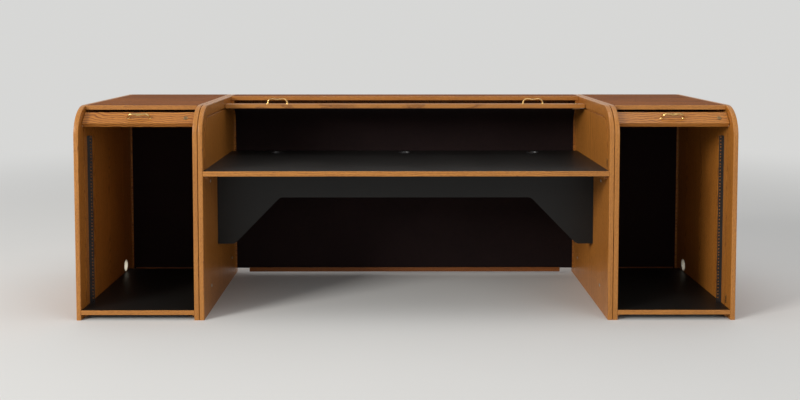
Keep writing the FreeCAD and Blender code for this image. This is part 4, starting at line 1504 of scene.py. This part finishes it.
def settle(low: float, high: float, short: Callable[[float], bool]) -> float:
    """Search by halving for the place where something starts to hold.

    Args:
        low: a place that falls short.
        high: a place that doesn't.
        short: says whether a place falls short.

    Returns:
        The place between them.
    """
    for _ in range(HALVINGS):
        middle = (low + high) / 2
        if short(middle):
            low = middle
        else:
            high = middle
    return (low + high) / 2


def rest_place(target: float, travel: float, start: float, end: float) -> float:
    """Where a point rests, along a slide, if the blend is to carry it to its target."""
    return settle(target - travel, target,
                  lambda place: place + travel * smooth((place - start) / (end - start)) < target)


def joint_travel(name: str) -> float:
    """A joint's upper limit, in metres or radians."""
    joint = next(j for j in frame["joints"] if j["name"] == name)
    return joint["range_m"][1] if joint["type"] == "slide" else math.radians(joint["range_deg"][1])


def riding(body: str) -> Carry:
    """A carry that lets a piece ride on one body."""
    return lambda piece: body


def blended() -> Carry:
    """A carry that bakes a piece's place into its mesh and leaves it on no body.

    Returns:
        The carry.
    """
    def carry(piece: Object) -> None:
        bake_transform(piece)
    return carry


@dataclass
class CurtainPart:
    """One stretch of a curtain: what carries it and how it lies at rest."""

    name: str
    carry: Carry
    to_rest: PointMap | None = None
    nodes: Sequence[str] = ()       # CAD nodes that its slats stand for, beside the curtain's own


@dataclass
class Curtain(Maker):
    """A curtain of slats on canvas, made as it lies closed and folded back to where it rests."""

    word: str
    track: Track
    slat: SlatSizes = SlatSizes()
    slat_reach: float = 0.0158      # how far a slat reaches past the canvas, into the groove
    path_step: float = 0.002
    canvas_steps: int = 3           # rows of canvas to a slat

    def __post_init__(self) -> None:
        """Read the canvas's sides from its CAD node."""
        low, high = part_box(f"{self.word}_canvas")
        self.left, self.right = low.x, high.x

    def slats(self, name: str, first: int, count: int) -> Object:
        """The slats of one part, laid along the closed path by geometry nodes.

        Args:
            name: the part's name.
            first: number of its first slat, from the curtain's front end.
            count: how many it has.

        Returns:
            The slats, as one piece.
        """
        shape = self.slat.shape(self.left - self.slat_reach, self.right + self.slat_reach)
        pattern = new_piece("slat_pattern", shape, self.finishes.slat)
        reaches = steps_between(0, self.track.length, self.path_step)
        host = self.repeater.host("track_path", [self.track.at(reach)[0] for reach in reaches],
                                  [(k, k + 1) for k in range(len(reaches) - 1)])
        values = {"Slat": pattern, "Count": count, "Pitch": self.slat.pitch,
                  "First": (first + 0.5) * self.slat.pitch, "Finish": self.finishes.slat}
        return self.repeater.bake(f"{self.word}_{name}_slats", host, self.repeater.along_path, values)

    def canvas(self, name: str, first: int, count: int) -> Object:
        """The canvas of one part, a thin strip on the slats' inner side.

        Args:
            name: the part's name.
            first: number of its first slat, from the curtain's front end.
            count: how many slats it backs.

        Returns:
            The canvas.
        """
        pitch, start = self.slat.pitch, first * self.slat.pitch
        lengths = steps_between(start, start + count * pitch, pitch / self.canvas_steps)
        face = self.slat.thickness / 2
        back = face + self.slat.canvas
        section = [(self.left, face), (self.right, face), (self.right, back), (self.left, back)]
        stations = []
        for reach in lengths:
            point, out = self.track.at(reach)
            stations.append((axes_at(point, X_AXIS, -out, X_AXIS.cross(-out)), section))
        shape = swept(stations)
        map_strip(shape, lengths, [x for x, _ in section], across_first=True)
        return new_piece(f"{self.word}_{name}_canvas", shape, self.finishes.canvas)

    def gather_up(self, piece: Object) -> str:
        """Give the rear run its own mesh and leave it on the root body.

        Args:
            piece: its slats or its canvas.

        Returns:
            The body that it hangs from.
        """
        joint, anchor = f"{self.word}_tail_lift", self.track.rear_spring
        share = 1.0 - joint_travel(joint) / (anchor - self.track.rear_foot)
        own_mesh(piece)
        return "root"

    @staticmethod
    def fold(piece: Object, to_rest: PointMap) -> None:
        """Move a piece's vertices from where they lie closed to where they rest.

        Args:
            piece: the slats or the canvas of one part.
            to_rest: where each point rests.
        """
        for vertex in piece.data.vertices:
            vertex.co = to_rest(vertex.co)
        piece.data.update()

    def build(self, marks: Sequence[int], parts: Sequence[CurtainPart]) -> None:
        """Make each part's slats and canvas, and fold them back.

        Args:
            marks: numbers of the slats where the parts start, and of the last one's end.
            parts: the parts, from the front end on.
        """
        for part, first, end in zip(parts, marks, marks[1:]):
            slats = self.slats(part.name, first, end - first)
            canvas = self.canvas(part.name, first, end - first)
            for piece, slot, nodes in ((slats, Slot.OAK, [f"{self.word}_slats", *part.nodes]),
                                       (canvas, Slot.CANVAS, [f"{self.word}_canvas"])):
                if part.to_rest is not None:
                    self.fold(piece, part.to_rest)
                hand_over(piece, part.carry(piece), slot, nodes)
        eased(f"{self.word}_tail_batten", BATTEN_EASING, self.finishes.batten, Slot.OAK)


@dataclass
class PedestalTambour(Maker):
    """A pedestal's curtain: folded behind the parked rail, over the top and down the rear."""

    side: Side
    shut_foot: float = 0.097        # lower end of the closed curtain, behind the rail
    fold_top: float = 0.859
    fold_bottom: float = 0.849
    curve_share: float = 65.0       # degrees of the front curve that the fold covers
    rear_foot: float = 0.014
    front_inset: float = 0.076
    spring: float = 0.808
    front_radius: float = 0.054
    rear_radius: float = 0.080

    def __post_init__(self) -> None:
        """Read how far the curtain slides."""
        self.travel = joint_travel(f"{self.side.value}_tambour_slide")

    def to_rest(self, point: Vector) -> Vector:
        """Lift a closed point back into the fold."""
        z = -rest_place(-point.z, self.travel, -self.fold_top, -self.fold_bottom)
        return Vector((point.x, point.y, z))

    def build(self) -> None:
        """Make the three parts of the curtain."""
        word, slat = self.side.value, SlatSizes()
        reach = self.spring + math.radians(self.curve_share) * self.front_radius
        front_count = math.ceil((reach - self.shut_foot) / slat.pitch)
        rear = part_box(f"{word}_slats")[1].y - slat.thickness / 2
        track = Track(cad_box[0].y + self.front_inset, reach - front_count * slat.pitch, self.spring,
                      self.front_radius, rear, self.rear_radius, self.rear_foot)
        curtain = Curtain(self.finishes, self.repeater, word, track)
        opening = blended()
        marks = [0, front_count, int(track.rear_start / slat.pitch), int(track.length / slat.pitch)]
        curtain.build(marks, [CurtainPart("front", opening, self.to_rest),
                              CurtainPart("top", riding("root")),
                              CurtainPart("rear", curtain.gather_up)])


@dataclass
class CentreTambour(Maker):
    """The centre curtain: two folds under the rail, six slats, a fold behind them, and the rear."""

    roll_y: float = 0.1735
    front_inset: float = 0.050
    spring: float = 0.808
    front_radius: float = 0.080
    rear_radius: float = 0.100
    rear_foot: float = 0.014
    fold: float = 0.006             # room of each fold by the rail
    run_start: float = 0.005        # from the roll axis forward to the first straight slat
    run_end: float = 0.109          # from the roll axis back to the last straight slat's end
    top_fold: float = 0.008

    def __post_init__(self) -> None:
        """Read how far the curtain's joints go, and where its folds lie."""
        self.run, self.drop = joint_travel("centre_tambour_slide"), joint_travel("centre_rail_drop")
        self.turn = joint_travel("centre_rail_roll")
        self.shut_roll = self.roll_y - self.run
        self.roll_end = self.run_start + self.fold
        self.fold_back = self.roll_y + self.run_end + self.top_fold

    def drop_to_rest(self, point: Vector) -> Vector:
        """Turn a closed point back under the rail and slide it into the lower fold."""
        below = rest_place(self.spring - point.z, self.drop, self.roll_end, self.roll_end + self.fold)
        return Vector((point.x, self.roll_y - below, self.spring + self.shut_roll - point.y))

    def roll_to_rest(self, point: Vector) -> Vector:
        """Unroll a closed point about the roll axis into the upper fold.

        Args:
            point: where it lies closed.

        Returns:
            Where it rests.
        """
        across, up = self.shut_roll - point.y, point.z - self.spring
        reach, target = math.hypot(across, up), math.atan2(across, up)

        def short(angle: float) -> bool:
            """Whether the roll leaves a point at this angle short of its target."""
            weight = smooth((reach * math.sin(angle) - self.run_start) / self.fold)
            return angle + self.turn * weight < target

        angle = settle(target - self.turn, target, short)
        return Vector((point.x, self.roll_y - reach * math.sin(angle),
                       self.spring + reach * math.cos(angle)))

    def run_to_rest(self, point: Vector) -> Vector:
        """Slide a closed point back along the top run."""
        return point + Y_AXIS * self.run

    def top_to_rest(self, point: Vector) -> Vector:
        """Slide a closed point back into the fold behind the straight slats."""
        y = -rest_place(-point.y, self.run, -self.fold_back, -(self.fold_back - self.top_fold))
        return Vector((point.x, y, point.z))

    def fold_between(self, first: str, second: str, start: float, end: float) -> Carry:
        """A carry that bakes a piece in place and leaves it on no body."""
        height = self.spring + self.front_radius
        return blended()

    def build(self) -> None:
        """Make the six parts of the curtain."""
        slat = SlatSizes()
        shut_foot = self.spring - self.run_start - 2 * self.fold - self.drop
        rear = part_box("centre_slats")[1].y - slat.thickness / 2
        track = Track(cad_box[0].y + self.front_inset, shut_foot, self.spring, self.front_radius,
                      rear, self.rear_radius, self.rear_foot)
        curtain = Curtain(self.finishes, self.repeater, "centre", track)
        top = track.top_start
        ends = (self.spring - self.roll_end - shut_foot, top - self.run_start, top + self.run_end,
                top + self.fold_back - self.shut_roll)
        marks = [0, *(round(end / slat.pitch) for end in ends),
                 int(track.rear_start / slat.pitch), int(track.length / slat.pitch)]
        roll_start, roll_end = self.roll_y - self.run_start, self.roll_y - self.roll_end
        dropping = self.fold_between("centre_roll", "centre_rail", roll_end, roll_end - self.fold)
        rolling = self.fold_between("centre_run", "centre_roll", roll_start, roll_end)
        gathering = self.fold_between("root", "centre_run", self.fold_back,
                                      self.fold_back - self.top_fold)
        curtain.build(marks, [
            CurtainPart("drop", dropping, self.drop_to_rest),
            CurtainPart("roll", rolling, self.roll_to_rest, ["centre_nose_slat"]),
            CurtainPart("straight", riding("centre_run"), self.run_to_rest, ["centre_run_slats"]),
            CurtainPart("gather", gathering, self.top_to_rest),
            CurtainPart("arc", riding("root")),
            CurtainPart("rear", curtain.gather_up)])


# ------------------------------------------------------------------ lead rails
@dataclass(frozen=True)
class PullSizes:
    """An arched cast pull: flared feet, swollen bends, and a grip that dips and swells."""

    centres: float = 0.096
    projection: float = 0.028
    bend: float = 0.021
    thickness: float = 0.0040       # half of the grip's, away from the rail
    foot: float = 0.0080            # radius of the foot's plate
    foot_plate: float = 0.0012
    foot_height: float = 0.0070
    flare: float = 2.2              # how sharply the foot flares
    neck: float = 0.0032            # half of the width across the rail, at its least
    swell: float = 0.0036           # what the middle adds to it
    swell_reach: float = 0.30       # how far that reaches, as a share of half the centres
    lobe: float = 0.0022            # what the bends add to it
    lobe_place: float = 0.90
    lobe_reach: float = 0.20
    dip: float = 0.0032             # how far the middle of the grip dips toward the rail
    section_points: int = 18
    step: float = 0.0015

    @property
    def runs(self) -> tuple[float, float, float]:
        """Lengths of a leg, a bend and the grip between the bends."""
        return (self.projection - self.thickness - self.bend, self.bend * QUARTER,
                self.centres - 2 * self.bend)

    def spine(self, reach: float) -> tuple[float, float, float]:
        """Place on the pull's centre line.

        Args:
            reach: length from the left foot.

        Returns:
            Distance along the rail from its middle, height over its face, and heading from upright.
        """
        half, top = self.centres / 2, self.projection - self.thickness
        leg, arc, grip = self.runs
        middle = leg + arc + grip / 2
        sign = -1 if reach <= middle else 1
        reach = reach if reach <= middle else 2 * middle - reach
        if reach < leg:
            along, height, turn = half, reach, 0.0
        elif reach < leg + arc:
            turn = (reach - leg) / self.bend
            along, height = half - self.bend * (1 - math.cos(turn)), leg + self.bend * math.sin(turn)
        else:
            along = half - self.bend - (reach - leg - arc)
            wave = math.pi * along / (half - self.bend)
            height = top - self.dip * (1 + math.cos(wave)) / 2
            turn = QUARTER + math.atan(self.dip * math.pi / (2 * (half - self.bend)) * math.sin(wave))
        return sign * along, height, turn if sign < 0 else math.pi - turn

    def radii(self, along: float, height: float) -> tuple[float, float]:
        """Size of the section at a place on the centre line.

        Args:
            along: distance along the rail from the middle.
            height: height over its face.

        Returns:
            Half of its thickness, and half of its width.
        """
        share = 2 * abs(along) / self.centres
        width = (self.neck + self.swell * math.exp(-(share / self.swell_reach) ** 2)
                 + self.lobe * math.exp(-((share - self.lobe_place) / self.lobe_reach) ** 2))
        thick = min(self.thickness, (width + self.neck) / 2)
        flare = max(0.0, 1 - max(0.0, height - self.foot_plate) / self.foot_height) ** self.flare
        return thick + (self.foot - thick) * flare, width + (self.foot - width) * flare

    def shape(self) -> Shape:
        """The pull, lying along X with its feet on Z = 0.

        Returns:
            The pull.
        """
        leg, arc, grip = self.runs
        length = 2 * (leg + arc) + grip
        stations = []
        for reach in steps_between(0.0, length, self.step):
            along, height, turn = self.spine(reach)
            heading = Vector((math.sin(turn), 0, math.cos(turn)))
            place = axes_at(Vector((along, 0, height)), Y_AXIS.cross(heading), Y_AXIS, heading)
            stations.append((place, ring(self.radii(along, height), self.section_points)))
        return swept(stations)


@dataclass
class LeadRail(Maker):
    """A lead rail with its pulls, lock and, on a pedestal, its guide shoes."""

    word: str
    easing: float = 0.0014
    case_easing: float = 0.0005
    plug_easing: float = 0.0002
    bolt_easing: float = 0.0003
    bezel_height: float = 0.0015
    bezel_radius: float = 0.0100
    bead: float = 0.0007            # radius of the bead round the bezel
    bead_inset: float = 1.6         # from the bezel's edge to the bead's middle, in its radii
    bead_faces: tuple[int, int] = (8, 40)       # round its section, and round the bezel
    screw_head: float = 0.0025      # height of the pull screws' heads
    pull: PullSizes = PullSizes()

    def __post_init__(self) -> None:
        """Read the rail's face from the lock's axis and the pull."""
        key = next(joint for joint in frame["joints"] if joint["name"] == f"{self.word}_key_turn")
        self.normal = Vector(key["axis"]).normalized()
        self.up = self.normal.cross(X_AXIS)
        self.key_place = Vector(key["pos_m"])
        self.is_centre = self.word == "centre"
        self.pull_node = f"{self.word}_pulls" if self.is_centre else f"{self.word}_pull"
        back, top = span(self.pull_node, self.normal)
        self.back, self.face = back + self.screw_head, top - self.pull.projection

    def local(self, x: float, across: float, out: float) -> Matrix:
        """Place on the rail: X along it, Y up its face and Z out of its face."""
        origin = X_AXIS * x + self.up * across + self.normal * out
        return axes_at(origin, X_AXIS, self.up, self.normal)

    def fit(self, name: str, shape: Shape, place: Matrix, finish: Material, slot: Slot,
            nodes: Sequence[str] = ()) -> None:
        """Lay one shape on the rail and hand it over."""
        bmesh.ops.transform(shape, verts=shape.verts, matrix=place)
        hand_over(new_piece(name, shape, finish), f"{self.word}_rail", slot, nodes)

    def build_pulls(self) -> None:
        """The pulls, and the screws that hold them from the rail's back."""
        across = sum(span(self.pull_node, self.up)) / 2
        low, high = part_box(self.pull_node)
        half = self.pull.centres / 2
        reach = half + self.pull.foot
        middles = sorted({round(low.x + reach, 5), round(high.x - reach, 5)})
        places = []
        for number, x in enumerate(middles, 1):
            self.fit(f"{self.word}_cast_pull_{number}", self.pull.shape(),
                     self.local(x, across, self.face), self.finishes.brass, Slot.BRASS,
                     [self.pull_node])
            places += [(self.local(x + offset, across, self.back).translation, -self.normal)
                       for offset in (-half, half)]
        self.put(f"{self.word}_pull_screws", ScrewHead(height=self.screw_head).shape(), places,
                 self.finishes.zinc, Slot.ZINC, body=f"{self.word}_rail")

    def build_lock(self) -> None:
        """The lock's case, plug and bolt, and a bead round its bezel."""
        lock, bead = self.finishes.lock, self.bead
        eased(f"{self.word}_lock_case", self.case_easing, lock, Slot.LOCK)
        eased(f"{self.word}_lock_plug", self.plug_easing, lock, Slot.LOCK)
        eased(f"{self.word}_lock_bolt", self.bolt_easing, self.finishes.zinc, Slot.ZINC)
        section_faces, faces_round = self.bead_faces
        middle = (self.bezel_radius - bead * self.bead_inset, self.bezel_height)
        shape = turned(ring((bead, bead), section_faces, middle), faces_round, closed=True)
        place = self.local(self.key_place.x, self.up.dot(self.key_place), self.face)
        self.fit(f"{self.word}_lock_bead", shape, place, lock, Slot.LOCK)

    def build(self) -> None:
        """Dress the rail and its fittings."""
        oak = self.finishes.level_rail if self.is_centre else self.finishes.rail
        eased(f"{self.word}_lead_rail", self.easing, oak, Slot.OAK, 3)
        self.build_pulls()
        self.build_lock()
        if not self.is_centre:
            eased(f"{self.word}_guide_shoes", self.case_easing, self.finishes.nylon, Slot.NYLON)


# ------------------------------------------------------------------ studio
@dataclass(frozen=True)
class Lamp:
    """A soft square lamp that faces the desk."""

    name: str
    place: tuple[float, float, float]
    aim: tuple[float, float, float]
    size: float
    power: float
    colour: Colour = (1.0, 1.0, 1.0)

    def make(self) -> None:
        """Put the lamp in the scene."""
        data = bpy.data.lights.new(self.name, "AREA")
        data.shape, data.size, data.energy, data.color = "SQUARE", self.size, self.power, self.colour
        lamp = in_scene(self.name, data)
        lamp.location = self.place
        heading = Vector(self.aim) - Vector(self.place)
        lamp.rotation_euler = heading.to_track_quat("-Z", "Y").to_euler()


@dataclass
class Studio:
    """Pale floor, soft lamps, an even pale surround and the camera."""

    lens: float = 42.3
    sensor: float = 36.0
    camera_place: tuple[float, float, float] = (-0.0399, -4.4947, 1.24995)
    pitch: float = 3.109            # degrees below level
    yaw: float = 0.181              # degrees to the right
    shift: float = -0.14255
    floor_size: float = 60.0
    floor_colour: Colour = (0.74, 0.73, 0.71)
    floor_cloud: float = 1.3        # changes of its tone per metre
    floor_shade: float = 0.97       # how dark it gets, as a share of its colour
    floor_roughness: float = 0.85
    floor_gloss: float = 0.1
    backdrop: Colour = (0.68, 0.68, 0.67)
    fade_start: float = 2.6
    fade_end: float = 7.0
    sky: Colour = (0.96, 0.98, 1.0)
    sky_strength: float = 0.52
    lights: tuple[Lamp, ...] = (
        Lamp("key", (-7.7, -6.3, 4.2), (0.3, 0.0, 0.75), 3.0, 715.0, (1.0, 0.985, 0.95)),
        Lamp("fill", (4.6, -5.4, 2.6), (0.0, 0.0, 0.5), 3.0, 45.0),
        Lamp("above", (0.4, -0.6, 4.6), (0.0, 0.0, 0.4), 2.6, 45.0))

    def floor_finish(self) -> Material:
        """A matt pale finish that runs into the backdrop's colour far from the desk.

        Returns:
            The material.
        """
        shade = Shade("studio_floor")
        place = shade.place()
        cloud = shade.noise(place, self.floor_cloud, 3.0)
        darker = tuple(part * self.floor_shade for part in self.floor_colour)
        shade.dress(Base_Color=shade.blend(cloud, self.floor_colour, darker),
                    Roughness=self.floor_roughness, Specular_IOR_Level=self.floor_gloss)
        away = shade.add("ShaderNodeVectorMath", {0: place}, operation="LENGTH").outputs["Value"]
        backdrop = shade.add("ShaderNodeEmission", {"Color": opaque(self.backdrop)}).outputs[0]
        faded = shade.spread(away, self.fade_start, self.fade_end)
        fade = shade.math("MULTIPLY", faded, self.shown(shade))
        mixed = shade.add("ShaderNodeMixShader", {0: fade, 1: shade.surface.outputs[0], 2: backdrop})
        end = next(node for node in shade.tree.nodes if node.bl_idname == "ShaderNodeOutputMaterial")
        shade.feed(end.inputs["Surface"], mixed.outputs[0])
        return shade.material

    def floor(self) -> None:
        """The floor, a wide square."""
        half = self.floor_size / 2
        mesh = bpy.data.meshes.new("studio_floor")
        corners = [(-half, -half, 0), (half, -half, 0), (half, half, 0), (-half, half, 0)]
        mesh.from_pydata(corners, [], [(0, 1, 2, 3)])
        mesh.materials.append(self.floor_finish())
        in_scene("studio_floor", mesh)

    @staticmethod
    def shown(tree: Tree) -> Socket:
        """Tell the rays that show a surface from those that light it.

        Args:
            tree: the node tree that asks.

        Returns:
            1 for rays from the camera or a reflection, 0 for others.
        """
        seen = tree.add("ShaderNodeLightPath").outputs
        return tree.math("MAXIMUM", seen["Is Camera Ray"],
                         tree.math("MAXIMUM", seen["Is Glossy Ray"], seen["Is Transmission Ray"]))

    def surround(self) -> None:
        """A pale world that lights gently and shows as a pale background."""
        world = bpy.data.worlds.new("studio")
        world.use_nodes = True
        bpy.context.scene.world = world
        tree = Tree(world.node_tree)
        tree.tree.nodes.clear()
        lit, pale = (
            tree.add("ShaderNodeBackground", {"Color": opaque(tint), "Strength": strength}).outputs[0]
            for tint, strength in ((self.sky, self.sky_strength), (self.backdrop, 1.0)))
        mixed = tree.add("ShaderNodeMixShader", {0: self.shown(tree), 1: lit, 2: pale})
        tree.add("ShaderNodeOutputWorld", {"Surface": mixed.outputs[0]})

    def camera(self) -> None:
        """The camera, level with a slight downward pitch and a shifted frame."""
        data = bpy.data.cameras.new("camera")
        data.lens, data.sensor_width, data.sensor_fit = self.lens, self.sensor, "HORIZONTAL"
        data.shift_y = self.shift
        camera = in_scene("camera", data)
        camera.location = self.camera_place
        camera.rotation_euler = Euler((math.radians(90 - self.pitch), 0, math.radians(-self.yaw)))
        bpy.context.scene.camera = camera

    def build(self) -> None:
        """Set the whole studio up."""
        bpy.context.scene.view_settings.view_transform = "Standard"
        self.floor()
        self.surround()
        for lamp in self.lights:
            lamp.make()
        self.camera()


def main() -> None:
    """Build the dressed desk and its studio."""
    logging.basicConfig(level=logging.INFO, format="%(message)s")
    finishes, repeater = Finishes(), Repeater()
    Studio().build()
    Carcass(DeskSizes.read(), finishes).build()
    for fittings in (RackBays, CableWays, Strikes, BackScrews):
        fittings(finishes, repeater).build()
    for side in Side:
        PedestalTambour(finishes, repeater, side).build()
    CentreTambour(finishes, repeater).build()
    for word in BAYS:
        LeadRail(finishes, repeater, word).build()


if __name__ == "__main__":
    main()
